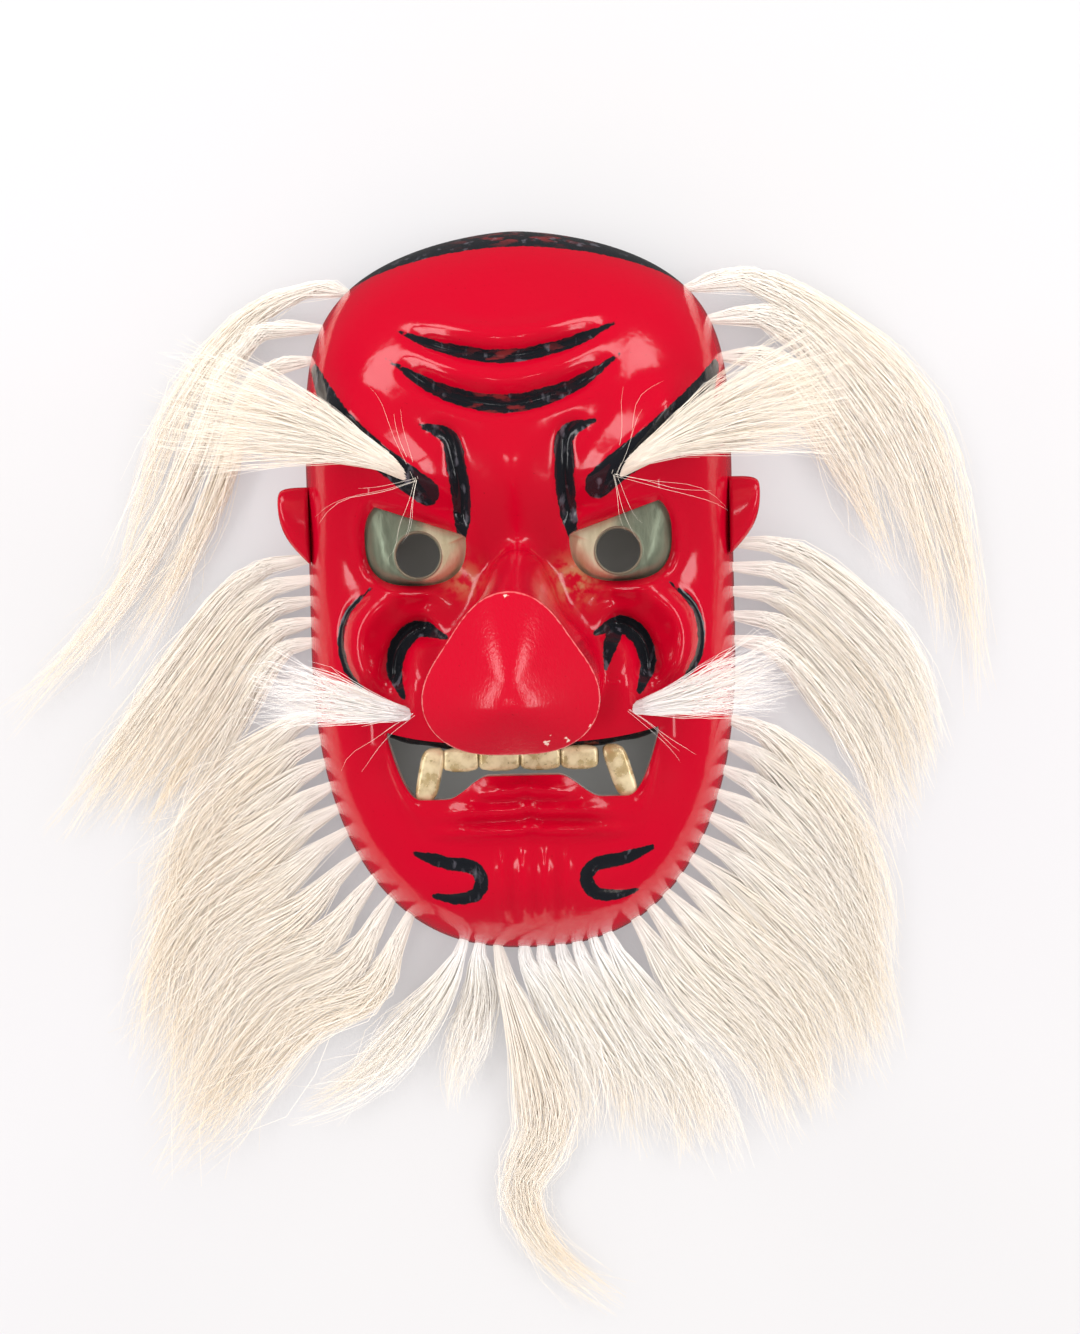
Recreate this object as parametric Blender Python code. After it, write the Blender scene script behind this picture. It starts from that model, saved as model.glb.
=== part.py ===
"""A tengu mask of red lacquer, lying on its back rim with its nose straight up.

The shell is one hollow moulding: a polar surface of rings and spokes that starts at the tip of the nose, runs
down the nose and over the carved face, and ends at the flat back rim. Brass eye plates sit behind the eye
openings. Tufts of pale hair stand in the brows, beside the nose and all round the side wall.

X is the mask's left to right as seen from the front, Y is chin to crown, Z is the way the nose points.
The origin is on the back rim's face under the chin, on the surface that the mask lies on. The carving is laid
out about the middle of the face, and every mesh is moved to the origin as it is made.
"""

import bmesh
import bpy
import numpy as np
from mathutils import Vector
from mathutils.bvhtree import BVHTree

# Driving dimensions, in metres
MASK_HEIGHT = 0.2445
MASK_WIDTH = 0.145
FACE_DEPTH = 0.062
NOSE_LENGTH = 0.178
NOSE_TIP_WIDTH = 0.0432
NOSE_TIP_DOME = 0.018
WALL = 0.0045
EAR_REACH = 0.0075
EAR_THICKNESS = 0.010
EYE_PLATE_THICKNESS = 0.0012
EYE_PLATE_DOME = 0.007
EYE_PLATE_OVERLAP = 0.003
EYE_PLATE_RIM = 0.0015
PUPIL_DIAMETER = 0.014
TOOTH_THICKNESS = 0.0045
TUFT_ROOT_DIAMETER = 0.0032
TUFT_ROOT_HEIGHT = 0.012
TUFT_ROOT_LENGTH = 0.004
LOCK_HALF_WIDTH = 0.012
TUFT_HALF_HEIGHT = 0.005
PIECE_GAP = 0.0005

# The carving is laid out in carving units, which are millimetres on a mask of this size.
CARVED_HEIGHT, CARVED_WIDTH, CARVED_DEPTH = 244.5, 145.0, 62.0
UNIT_X = MASK_WIDTH / CARVED_WIDTH
UNIT_Y = MASK_HEIGHT / CARVED_HEIGHT
UNIT_Z = FACE_DEPTH / CARVED_DEPTH

# Outline of the back rim, in carving units
CROWN, CHIN = 123.0, -121.5
CROWN_START, CHIN_START = 10.0, -10.0
CROWN_SHAPE, CHIN_SHAPE = (6.1, 0.62), (2.5, 0.41)
NOSE_Y = -31.0

# Middle of the eye opening, its pupil and the middle of the ear, in carving units
EYE_CENTRE, EYE_REACH, EYE_POWER = (33.0, 15.5), (16.5, 14.2), 2.6
EYE_LID_START, EYE_LID_SLOPE = (17.0, 16.8), 0.342
PUPIL_CENTRE = (32.0, 10.8)
EAR_CENTRE_Y, EAR_HALF_HEIGHT, EAR_RISE = 23.0, 13.0, 9.0

# Grid of the shell: rings from the tip to the rim, and spokes round the nose
DOME_RINGS, SHAFT_RINGS, FACE_RINGS, SPOKES = 18, 30, 96, 272
FACE_STEP, WALL_STEP, INNER_STEP, SPOKE_STEP = 3, 5, 16, 4
WALL_SHARE = 0.7


def smooth_step(start, end, value):
    """0 before start and 1 after end, with a level join at both."""
    share = np.clip((value - start) / (end - start), 0.0, 1.0)
    return share * share * (3.0 - 2.0 * share)


def bump(x, y, centre, reach):
    """A round hill of height 1 that falls off as exp(-distance squared), distance in shares of the reach."""
    return np.exp(-(((x - centre[0]) / reach[0]) ** 2) - ((y - centre[1]) / reach[1]) ** 2)


def smooth_curve(points, steps=8):
    """A Catmull-Rom curve through the points: each stretch is a cubic whose slope follows its neighbours."""
    points = np.asarray(points, float)
    padded = np.vstack([2 * points[0] - points[1], points, 2 * points[-1] - points[-2]])
    t = np.linspace(0.0, 1.0, steps, endpoint=False)[None, :, None]
    a, b, c, d = (padded[i : len(points) - 1 + i, None, :] for i in range(4))
    spans = 0.5 * (
        2 * b + (c - a) * t + (2 * a - 5 * b + 4 * c - d) * t**2 + (3 * b - a - 3 * c + d) * t**3
    )
    return np.vstack([spans.reshape(-1, points.shape[1]), points[-1:]])


def near_curve(x, y, curve):
    """Distance from each place to a curve, and how far along the curve its nearest point lies."""
    start, step = curve[:-1], np.diff(curve, axis=0)
    length = np.hypot(step[:, 0], step[:, 1])
    to_x, to_y = x[..., None] - start[:, 0], y[..., None] - start[:, 1]
    share = np.clip((to_x * step[:, 0] + to_y * step[:, 1]) / length**2, 0.0, 1.0)
    distance = np.hypot(to_x - share * step[:, 0], to_y - share * step[:, 1])
    nearest = distance.argmin(axis=-1)[..., None]
    travelled = np.concatenate([[0.0], np.cumsum(length)[:-1]]) + share * length
    pick = [np.take_along_axis(values, nearest, axis=-1)[..., 0] for values in (distance, travelled)]
    return pick[0], pick[1] / length.sum()


def ridge(x, y, points, reach, taper=0.2):
    """A rounded ridge of height 1 along a curve, fading out over the taper's share of it at both ends."""
    distance, along = near_curve(x, y, smooth_curve(points))
    ends = smooth_step(-0.02, taper, along) * smooth_step(1.02, 1.0 - taper, along)
    return np.exp(-((distance / reach) ** 2)) * ends


def half_width(y):
    """Half the rim's width at a height: full at the middle, closing to nothing at crown and chin."""
    crown = np.clip((y - CROWN_START) / (CROWN - CROWN_START), 0.0, 1.0)
    chin = np.clip((CHIN_START - y) / (CHIN_START - CHIN), 0.0, 1.0)
    narrowing = (1 - crown ** CROWN_SHAPE[0]) ** CROWN_SHAPE[1] * (1 - chin ** CHIN_SHAPE[0]) ** CHIN_SHAPE[1]
    return CARVED_WIDTH / 2 * narrowing


def rim_radius(angle):
    """Distance from the nose's axis to the rim in each direction, found by halving the range."""
    low, high = np.zeros_like(angle), np.full_like(angle, CARVED_HEIGHT)
    for _ in range(36):
        middle = (low + high) / 2
        inside = np.abs(middle * np.cos(angle)) < half_width(NOSE_Y + middle * np.sin(angle))
        low, high = np.where(inside, middle, low), np.where(inside, high, middle)
    return low


def eye_distance(x, y):
    """Distance outside the eye opening: a rounded oval under a straight slanting upper lid."""
    across, up = x - EYE_CENTRE[0], y - EYE_CENTRE[1]
    powers = np.abs(across / EYE_REACH[0]) ** EYE_POWER + np.abs(up / EYE_REACH[1]) ** EYE_POWER
    oval = powers ** (1 / EYE_POWER)
    from_oval = np.hypot(across, up) * (1 - 1 / np.maximum(oval, 1e-6))
    above_lid = (y - EYE_LID_START[1]) - EYE_LID_SLOPE * (x - EYE_LID_START[0])
    return np.maximum(from_oval, above_lid / np.hypot(1.0, EYE_LID_SLOPE))


def mouth_top(x):
    return -50.0 + 4.5 * (x / 44.0) ** 3


def mouth_bottom(x):
    """Lower edge of the mouth: the lip's raised middle, a low stretch under the fang, up to the corner."""
    low = -60.2 - 7.3 * smooth_step(11.0, 25.0, x)
    return low + 22.0 * np.clip((x - 33.0) / 11.0, 0.0, 1.0) ** 2


def mouth_distance(x, y):
    return np.maximum.reduce([y - mouth_top(x), mouth_bottom(x) - y, x - 44.0])


BROW_RIDGE = [(18, 25), (27, 32), (38, 42), (50, 54), (62, 66)]
FROWN_GROOVE = [(25, 50), (18.5, 47), (17, 38), (16.5, 28), (17.5, 17)]
UPPER_GROOVE = [(-34, 82), (-18, 75), (0, 71.6), (18, 75), (34, 82)]
LOWER_GROOVE = [(-35, 71), (-19, 61), (0, 56.5), (19, 61), (35, 71)]
CHEEK_ROLL = [(29, -4), (42, -3), (51, -12), (51, -24), (43, -36)]
CHEEK_GROOVE = [(47, 0), (55.5, -6), (58.5, -15), (56.5, -25), (50, -32)]
NOSTRIL_GROOVE = [(25.5, -14), (33, -12.5), (40, -18), (42.5, -26), (39.5, -33)]
CHIN_HOOK = [(38.5, -85), (29, -88), (20, -89.5), (16.8, -94.2), (19.5, -99), (26, -100.5), (33, -99.5)]
LIP_FOLDS = [(-64.5, 18.0), (-71.3, 30.0), (-78.0, 40.0)]


def face_relief(x, y):
    """The carved face above its plain curved form. The two halves are alike, so it reads the distance from
    the middle line."""
    side = np.abs(x)
    relief = 5.0 * bump(x, y, (0, 70), (44, 26)) + 8.0 * ridge(side, y, BROW_RIDGE, 8.0, 0.3)
    relief += 8.5 * bump(x, y, (0, 24), (15, 15)) + 3.0 * bump(x, y, (0, 40), (14, 10))
    relief -= 2.8 * ridge(side, y, FROWN_GROOVE, 2.4)
    for groove, depth, reach, fold in ((UPPER_GROOVE, 3.4, 2.4, 7.5), (LOWER_GROOVE, 4.0, 3.0, 7.5)):
        relief -= depth * ridge(x, y, groove, reach)
        relief += 2.6 * ridge(x, y, [(px, py + fold) for px, py in groove], 4.0, 0.35)
    eye = eye_distance(side, y)
    relief -= 7.0 * bump(side, y, (34, 11), (21, 14))
    relief += 2.2 * np.exp(-(((eye - 2.5) / 2.4) ** 2))
    relief += 5.5 * ridge(side, y, CHEEK_ROLL, 5.5, 0.25) - 1.6 * ridge(side, y, CHEEK_GROOVE, 1.6)
    relief += 9.5 * bump(side, y, (30.5, -31), (9.5, 11)) - 6.0 * ridge(side, y, NOSTRIL_GROOVE, 3.2)
    mouth = mouth_distance(side, y)
    relief += 3.0 * bump(x, y, (0, -62), (46, 26)) + 3.5 * np.exp(-(((mouth - 4.5) / 4.5) ** 2))
    for fold_y, fold_half in LIP_FOLDS:
        curve = fold_y + 3.0 * (side / fold_half) ** 2
        relief += 1.9 * np.exp(-(((y - curve) / 2.1) ** 2)) * smooth_step(fold_half, 0.6 * fold_half, side)
    relief += 7.0 * bump(x, y, (0, -97), (26, 13)) - 1.6 * ridge(side, y, CHIN_HOOK, 1.7)
    flutes = 0.8 * np.cos(x * np.pi * 2 / 7.2 + np.pi) * smooth_step(15, 10, side)
    return relief + flutes * smooth_step(-80, -86, y) * smooth_step(-112, -104, y)


def face_height(x, y):
    """Height of the outer face: a form that falls as a superellipse to the rim, with the relief on it."""
    angle = np.arctan2(y - NOSE_Y, x)
    share = np.clip(np.hypot(x, y - NOSE_Y) / rim_radius(angle), 0.0, 1.0)
    upward = np.maximum(np.sin(angle), 0.0)
    form = 44.0 + 17.0 * smooth_step(-5, 60, y) - 4.0 * smooth_step(-70, -118, y)
    fall = (1 - share ** (5.5 - 1.3 * upward**2)) ** 0.5
    return form * fall + face_relief(x, y) * smooth_step(1.0, 0.86, share)


def spoke_angles():
    """Directions of the spokes, spread so that they stand evenly along the rim."""
    angle = np.linspace(-np.pi / 2, np.pi * 3 / 2, 2881)
    radius = rim_radius(angle)
    rim = np.stack([radius * np.cos(angle), radius * np.sin(angle)], axis=1)
    travelled = np.concatenate([[0.0], np.cumsum(np.linalg.norm(np.diff(rim, axis=0), axis=1))])
    even = np.linspace(0.0, travelled[-1], SPOKES, endpoint=False)
    return np.interp(even, travelled, angle)


def nose_base_radius(angle):
    """The nose's foot on the face: broad at the sides, drawn out to a ridge at the top, flat underneath."""
    from_top = np.abs(np.arctan2(np.cos(angle), np.sin(angle)))
    ridge_part = 18.5 * np.exp(-((from_top / np.radians(20)) ** 2))
    return 25.0 + ridge_part - 11.5 * np.maximum(-np.sin(angle), 0.0) ** 1.5


def nose_tip_radius(angle):
    """The nose's rounded three-cornered end, with one corner at the top."""
    mean = NOSE_TIP_WIDTH / UNIT_X / 2
    from_top = angle - np.pi / 2
    return mean * (1 + 0.13 * np.cos(3 * from_top) - 0.035 * np.cos(2 * from_top))


def shell_grids():
    """Outer and inner surface of the shell in metres, each as rings by spokes by X, Y, Z, and their poles."""
    angle = spoke_angles()
    along = np.stack([np.cos(angle), np.sin(angle), 0 * angle], axis=1)
    middle = np.array([0.0, NOSE_Y, 0.0])
    top = NOSE_LENGTH / UNIT_Z
    edge_height = top - NOSE_TIP_DOME / UNIT_Z
    edge = middle + along * nose_tip_radius(angle)[:, None] + [0, 0, edge_height]
    foot = middle + along * nose_base_radius(angle)[:, None]
    foot[:, 2] = face_height(foot[:, 0], foot[:, 1])
    rim = middle + along * rim_radius(angle)[:, None]

    peak = np.array([0.0, NOSE_Y - 4.5, top])
    share = (np.arange(1, DOME_RINGS + 1) / DOME_RINGS)[:, None, None]
    dome = peak + (edge - peak) * share
    dome[..., 2] = edge_height + (top - edge_height) * (1 - share[..., 0] ** 1.6)
    share = (1 - (1 - np.arange(1, SHAFT_RINGS + 1) / SHAFT_RINGS) ** 1.5)[:, None, None]
    shaft = edge + (foot - edge) * share
    share = (1 - (1 - np.arange(1, FACE_RINGS + 1) / FACE_RINGS) ** 1.7)[:, None, None]
    face = foot + (rim - foot) * share
    face[..., 2] = face_height(face[..., 0], face[..., 1])
    outer = np.concatenate([dome, shaft, face])

    root = DOME_RINGS + SHAFT_RINGS - 1
    reach = np.abs(np.arange(len(outer)) - root)
    ease = 0.5 * smooth_step(12, 5, reach)[:, None, None]
    for _ in range(24):
        around = (outer[:-2] + outer[2:]) / 2
        outer[1:-1] += ease[1:-1] * (around - outer[1:-1])

    outer *= [UNIT_X, UNIT_Y, UNIT_Z]
    peak = peak * [UNIT_X, UNIT_Y, UNIT_Z]
    inner, inner_peak = inner_grid(outer, peak, along)
    return outer, peak, inner, inner_peak


def inner_grid(outer, peak, along):
    """The hollow side: the outer surface's lowest level nearby, smoothed and set in by the wall."""
    level = outer[DOME_RINGS + SHAFT_RINGS :, :, 2].copy()
    share = np.linspace(0.0, 1.0, FACE_RINGS)[:, None]
    lower = smooth_step(0.75, 0.5, share)
    for step in range(16):
        ringed = np.pad(level, ((1, 1), (0, 0)), mode="edge")
        near = [ringed[:-2], ringed[2:], np.roll(level, 1, axis=1), np.roll(level, -1, axis=1)]
        if step < 5:
            level = level + lower * (np.minimum.reduce([level, *near]) - level)
        else:
            level = level + lower * (sum(near) / 4 - level)
    inner = outer.copy()
    inner[DOME_RINGS + SHAFT_RINGS :, :, 2] = level
    drop = WALL * np.minimum(1.0, inner[..., 2] / (3 * WALL))
    inner[..., 2] -= drop

    set_in = np.ones(len(outer))
    set_in[DOME_RINGS + SHAFT_RINGS :] = np.maximum(np.exp(-share[:, 0] / 0.05), share[:, 0] ** 3)
    inner -= along * (WALL * set_in)[:, None, None]
    shrink = 1 - WALL / (NOSE_TIP_WIDTH / 2)
    dome = outer[:DOME_RINGS]
    inner[:DOME_RINGS, :, :2] = peak[:2] + (dome[..., :2] - peak[:2]) * shrink
    return inner, peak - [0.0, 0.0, WALL]


def evened(level):
    """Each height averaged with those around it, so that a coarse grid still shows the carving between its
    lines. The rim stays level."""
    ringed = np.pad(level, ((1, 1), (0, 0)), mode="edge")
    around = (ringed[:-2] + ringed[2:] + np.roll(level, 1, axis=1) + np.roll(level, -1, axis=1)) / 4
    return np.concatenate([(level + around)[:-1] / 2, level[-1:]])


def ring_faces(rings, spokes, first, flip):
    """Triangles between neighbouring rings of a closed polar grid whose vertices start at the number given.
    The two halves of the spokes are cut along opposite diagonals, which rise outwards as the furrows do."""
    ring, spoke = np.meshgrid(np.arange(rings - 1), np.arange(spokes), indexing="ij")
    beside = (spoke + 1) % spokes
    near, far = ring * spokes + spoke, (ring + 1) * spokes + spoke
    far_next, near_next = (ring + 1) * spokes + beside, ring * spokes + beside
    first_half = np.stack([near, far, near_next, near_next, far, far_next], axis=-1)
    second_half = np.stack([near, far, far_next, near, far_next, near_next], axis=-1)
    corners = np.where((spoke < spokes // 2)[..., None], first_half, second_half)
    faces = first + corners.reshape(-1, 3)
    return faces[:, ::-1] if flip else faces


def fan_faces(spokes, first, pole, flip):
    """Triangles that close a ring onto its pole."""
    spoke = np.arange(spokes)
    faces = np.stack([np.full(spokes, pole), first + spoke, first + (spoke + 1) % spokes], axis=-1)
    return faces[:, ::-1] if flip else faces


def mesh_object(name, vertices, faces, material):
    """A new object whose mesh is moved from the middle of the face to the origin under the chin."""
    mesh = bpy.data.meshes.new(name)
    placed = np.asarray(vertices, float) - [0.0, CHIN * UNIT_Y + WALL / 2, 0.0]
    mesh.from_pydata(placed.tolist(), [], [tuple(map(int, f)) for f in faces])
    mesh.update()
    mesh.shade_smooth()
    mesh.materials.append(material)
    made = bpy.data.objects.new(name, mesh)
    bpy.context.scene.collection.objects.link(made)
    return made


def finish_material(name, colour, roughness, metallic=0.0):
    made = bpy.data.materials.new(name)
    made.use_nodes = True
    shader = made.node_tree.nodes["Principled BSDF"]
    shader.inputs["Base Color"].default_value = (*colour, 1.0)
    shader.inputs["Roughness"].default_value = roughness
    shader.inputs["Metallic"].default_value = metallic
    return made


def prism(name, outline, low, high):
    """A closed upright block over an outline, kept as a hidden cutter."""
    count = len(outline)
    vertices = [(x, y, z) for z in (low, high) for x, y in outline]
    sides = [(i, (i + 1) % count, count + (i + 1) % count, count + i) for i in range(count)]
    faces = sides + [tuple(range(count))[::-1], tuple(range(count, 2 * count))]
    return cutter(mesh_object(name, vertices, faces, bpy.data.materials["red_lacquer"]))


def cutter(made):
    """Keeps a closed mesh as a shape that is cut from or joined to the shell, not a piece of its own."""
    outward(made)
    made.hide_render = True
    made.display_type = "WIRE"
    return made


def boolean(target, other, operation):
    change = target.modifiers.new(f"{operation.lower()}_{other.name}", "BOOLEAN")
    change.operation = operation
    change.solver = "EXACT"
    change.object = other


def eye_outline(grow, count=28):
    """Points round the eye opening on the right side, set out by grow, in carving units."""
    turn = np.linspace(0.0, 2 * np.pi, count, endpoint=False)
    plain = np.stack([np.cos(turn), np.sin(turn)], axis=1)
    oval = np.sign(plain) * np.abs(plain) ** (2 / EYE_POWER)
    x, y = (np.array(EYE_CENTRE) + oval * (np.array(EYE_REACH) + grow)).T
    lid = EYE_LID_START[1] + EYE_LID_SLOPE * (x - EYE_LID_START[0]) + grow * np.hypot(1.0, EYE_LID_SLOPE)
    return np.stack([x, np.minimum(y, lid)], axis=1)


def mouth_outline(count=15):
    """Points round the mouth opening, from the left corner along the top and back along the bottom."""
    x = 44.0 * np.sin(np.linspace(-np.pi / 2, np.pi / 2, count))
    top = np.stack([x, mouth_top(np.abs(x))], axis=1)
    low = np.stack([x, mouth_bottom(np.abs(x))], axis=1)
    return np.vstack([top, low[::-1]])


def build_shell(material):
    """The hollow shell, cut through at the eyes and mouth, with its ears and teeth joined on. Gives its inner
    surface back as a tree for finding heights on it."""
    outer, peak, inner, inner_peak = shell_grids()
    nose_rings = DOME_RINGS + SHAFT_RINGS
    outer[nose_rings:, :, 2] = evened(outer[nose_rings:, :, 2])
    wall_start = nose_rings - 1 + int(WALL_SHARE * FACE_RINGS) // FACE_STEP * FACE_STEP
    nose = [5, 11, DOME_RINGS - 1, *range(DOME_RINGS + 5, nose_rings, 6)]
    carved = range(nose_rings - 1 + FACE_STEP, wall_start, FACE_STEP)
    outer_rings = [*nose, *carved, *range(wall_start, len(outer) - 1, WALL_STEP), len(outer) - 1]
    inner_rings = [8, DOME_RINGS - 1, DOME_RINGS + 14, nose_rings - 1]
    inner_rings += range(nose_rings - 1 + INNER_STEP, len(outer), INNER_STEP)
    outside = outer[outer_rings][:, ::SPOKE_STEP]
    inside = inner[inner_rings][:, ::SPOKE_STEP]
    spokes = outside.shape[1]
    first_inside = outside.shape[0] * spokes
    poles = first_inside + inside.shape[0] * spokes
    vertices = np.vstack([outside.reshape(-1, 3), inside.reshape(-1, 3), peak, inner_peak])
    last_out, last_in = first_inside - spokes, poles - spokes
    spoke = np.arange(spokes)
    beside = (spoke + 1) % spokes
    rim = np.stack([last_out + spoke, last_in + spoke, last_in + beside, last_out + beside], axis=-1)
    faces = [
        *ring_faces(outside.shape[0], spokes, 0, False),
        *ring_faces(inside.shape[0], spokes, first_inside, True),
        *fan_faces(spokes, 0, poles, False),
        *fan_faces(spokes, first_inside, poles + 1, True),
        *rim,
    ]
    shell = mesh_object("mask_shell", vertices, faces, material)
    inner_faces = ring_faces(inside.shape[0], spokes, 0, True).tolist()
    inner_surface = BVHTree.FromPolygons(inside.reshape(-1, 3).tolist(), inner_faces)

    for side, name in ((1, "right"), (-1, "left")):
        outline = eye_outline(0.0) * [side * UNIT_X, UNIT_Y]
        boolean(shell, prism(f"eye_cutter_{name}", outline, 0.2 * FACE_DEPTH, 1.3 * FACE_DEPTH), "DIFFERENCE")
    outline = mouth_outline() * [UNIT_X, UNIT_Y]
    boolean(shell, prism("mouth_cutter", outline, 0.2 * FACE_DEPTH, FACE_DEPTH), "DIFFERENCE")
    for side, name in ((1, "right"), (-1, "left")):
        boolean(shell, ear(f"ear_{name}", side, material), "UNION")
    boolean(shell, teeth(material), "UNION")
    return inner_surface


def ear(name, side, material):
    """A small pointed lobe on the side wall, level along its top and slanting up underneath."""
    rings, count = 5, 12
    reach = EAR_REACH + 0.6 * WALL
    centre = np.array([side * (MASK_WIDTH / 2 - 0.6 * WALL), EAR_CENTRE_Y * UNIT_Y, 0.35 * FACE_DEPTH])
    turn = np.linspace(0.0, 2 * np.pi, count, endpoint=False)
    vertices = []
    for k in range(rings):
        out = k / (rings - 1)
        size = (1 - 0.96 * out**2.5) ** 0.5
        for a in turn:
            lean = (EAR_RISE * out + EAR_HALF_HEIGHT * (1 - 0.8 * out) * np.cos(a)) * UNIT_Y
            vertices.append(centre + [side * reach * out, lean, EAR_THICKNESS / 2 * size * np.sin(a)])
    grid = ring_faces(rings, count, 0, side > 0)
    faces = [*grid, tuple(range(count)), tuple(range((rings - 1) * count, rings * count))[::-1]]
    return cutter(mesh_object(name, vertices, faces, material))


def outward(made):
    """Turns a closed mesh's faces to point out."""
    shaped = bmesh.new()
    shaped.from_mesh(made.data)
    bmesh.ops.recalc_face_normals(shaped, faces=shaped.faces)
    shaped.to_mesh(made.data)
    shaped.free()


def tooth_edge(x):
    """Lower edge of the teeth: a short row in front, then a long fang each side with bare gum past it."""
    side = np.abs(x)
    row = -58.6 + 0.9 * np.abs(np.cos(np.pi * x / 10.0)) ** 8
    fang = smooth_step(24.2, 25.6, side) * smooth_step(36.2, 34.8, side)
    gum = smooth_step(24.4, 25.2, side)
    return row + (-52.5 - row) * gum - 15.6 * fang


def teeth(material):
    """Gum, front teeth and fangs as one bar across the mouth, a rounded block in section."""
    fang = np.linspace(24.0, 36.4, 7)
    x = np.concatenate([-fang[::-1], np.linspace(-20, 20, 9), fang])
    low, top = tooth_edge(x), mouth_top(np.abs(x)) + 2.0
    front = 0.69 * FACE_DEPTH
    section = [(0.0, 0.0), (0.0, 1.0), (0.72, 1.0), (0.96, 0.72), (1.0, 0.3), (0.9, 0.0)]
    vertices = []
    for down, out in section:
        y = top + (low - top) * down
        z = np.full_like(x, front - TOOTH_THICKNESS) + TOOTH_THICKNESS * out
        vertices.append(np.stack([x * UNIT_X, y * UNIT_Y, z], axis=1))
    columns, count = len(x), len(section)
    loops = np.stack(vertices, axis=1).reshape(-1, 3)
    grid = ring_faces(columns, count, 0, False)
    faces = [*grid, tuple(range(count)), tuple(range((columns - 1) * count, columns * count))[::-1]]
    return cutter(mesh_object("tooth_bar", loops, faces, material))


def build_eye_plate(name, side, inner_surface, material):
    """A thin brass plate: a flange that follows the shell's inside round the opening, and a dome within."""
    count = 20
    grown = (EYE_PLATE_OVERLAP, -EYE_PLATE_RIM)
    rings = [eye_outline(grow / UNIT_X, count) * [UNIT_X, UNIT_Y] for grow in grown]
    pupil = np.array(PUPIL_CENTRE) * [UNIT_X, UNIT_Y]
    turn = np.arctan2(rings[1][:, 1] - pupil[1], rings[1][:, 0] - pupil[0])
    hole = pupil + PUPIL_DIAMETER / 2 * np.stack([np.cos(turn), np.sin(turn)], axis=1)
    rings += [between(rings[1], hole, 0.5), hole]
    levels = []
    below, upward = -0.01, Vector((0, 0, 1))
    for ring in rings[:2]:
        found = [inner_surface.ray_cast(Vector((x * side, y, below)), upward)[0] for x, y in ring]
        hits = np.array([place.z for place in found])
        lowest_near = np.minimum.reduce([hits, np.roll(hits, 1), np.roll(hits, -1)])
        levels.append(lowest_near - PIECE_GAP)
    middle = levels[1].min()
    levels += [between(levels[1], middle, 0.6) + 0.75 * EYE_PLATE_DOME]
    levels += [np.full(count, middle + EYE_PLATE_DOME)]
    front = [np.column_stack([ring[:, 0] * side, ring[:, 1], level]) for ring, level in zip(rings, levels)]
    back = [front[place] - [0.0, 0.0, EYE_PLATE_THICKNESS] for place in (3, 1, 0)]
    loops = np.vstack([*front, *back])
    grid = ring_faces(len(front) + len(back), count, 0, False)
    spoke = np.arange(count)
    beside = (spoke + 1) % count
    last = (len(front) + len(back) - 1) * count
    close = np.stack([last + spoke, spoke, beside, last + beside], axis=-1)
    made = mesh_object(name, loops, [*grid, *close], material)
    outward(made)


def wall_point(x, y, height):
    """Where the side wall stands at a height, in the direction of a place outside it, and the way out."""
    angle = np.arctan2(y / UNIT_Y - NOSE_Y, x / UNIT_X) + np.array([-0.01, 0.0, 0.01])
    far = rim_radius(angle)
    near = 0.8 * far
    for _ in range(14):
        middle = (near + far) / 2
        high = face_height(middle * np.cos(angle), NOSE_Y + middle * np.sin(angle)) * UNIT_Z > height
        near, far = np.where(high, middle, near), np.where(high, far, middle)
    plan = np.stack([far * np.cos(angle) * UNIT_X, (NOSE_Y + far * np.sin(angle)) * UNIT_Y], axis=1)
    run = plan[2] - plan[0]
    return plan[1], np.array([run[1], -run[0]]) / np.hypot(*run)


def tuft_route(places):
    """A lock's path: straight out of the wall for a few millimetres, then down to rest and along it."""
    places = np.asarray(places, float) * [UNIT_X, UNIT_Y]
    start, out = wall_point(*places[0], TUFT_ROOT_HEIGHT)
    stub = [start + out * 2 * PIECE_GAP, start + out * TUFT_ROOT_LENGTH]
    plan = smooth_curve(np.vstack([stub, places[1:]]), 6)
    travelled = np.concatenate([[0.0], np.cumsum(np.hypot(*np.diff(plan, axis=0).T))])
    share = travelled / travelled[-1]
    low = TUFT_HALF_HEIGHT + PIECE_GAP
    height = low + (TUFT_ROOT_HEIGHT - low) * smooth_step(0.45, 0.0, share)
    return np.column_stack([plan, height])


def resampled(route, count):
    """The same path by points at even distances."""
    travelled = np.concatenate([[0.0], np.cumsum(np.linalg.norm(np.diff(route, axis=0), axis=1))])
    even = np.linspace(0.0, travelled[-1], count)
    return np.stack([np.interp(even, travelled, route[:, i]) for i in range(3)], axis=1)


def build_lock(name, route, half_wide, half_high, material):
    """A closed flattened lock along its path: four-sided rings, wide and high as given at each point."""
    count, sides = len(route), 4
    ahead = np.gradient(route, axis=0)
    ahead /= np.linalg.norm(ahead, axis=1)[:, None]
    across = np.cross(ahead, [0.0, 0.0, 1.0])
    across /= np.linalg.norm(across, axis=1)[:, None]
    up = np.cross(across, ahead)
    turn = np.linspace(0.0, 2 * np.pi, sides, endpoint=False) + np.pi / 2
    loops = (
        route[:, None]
        + across[:, None] * (half_wide[:, None] * np.cos(turn))[..., None]
        + up[:, None] * (half_high[:, None] * np.sin(turn))[..., None]
    ).reshape(-1, 3)
    loops[:, 2] = np.maximum(loops[:, 2], PIECE_GAP)
    grid = ring_faces(count, sides, 0, False)
    faces = [*grid, tuple(range(sides)), tuple(range((count - 1) * sides, count * sides))[::-1]]
    made = mesh_object(name, loops, faces, material)
    outward(made)
    return made


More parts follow.
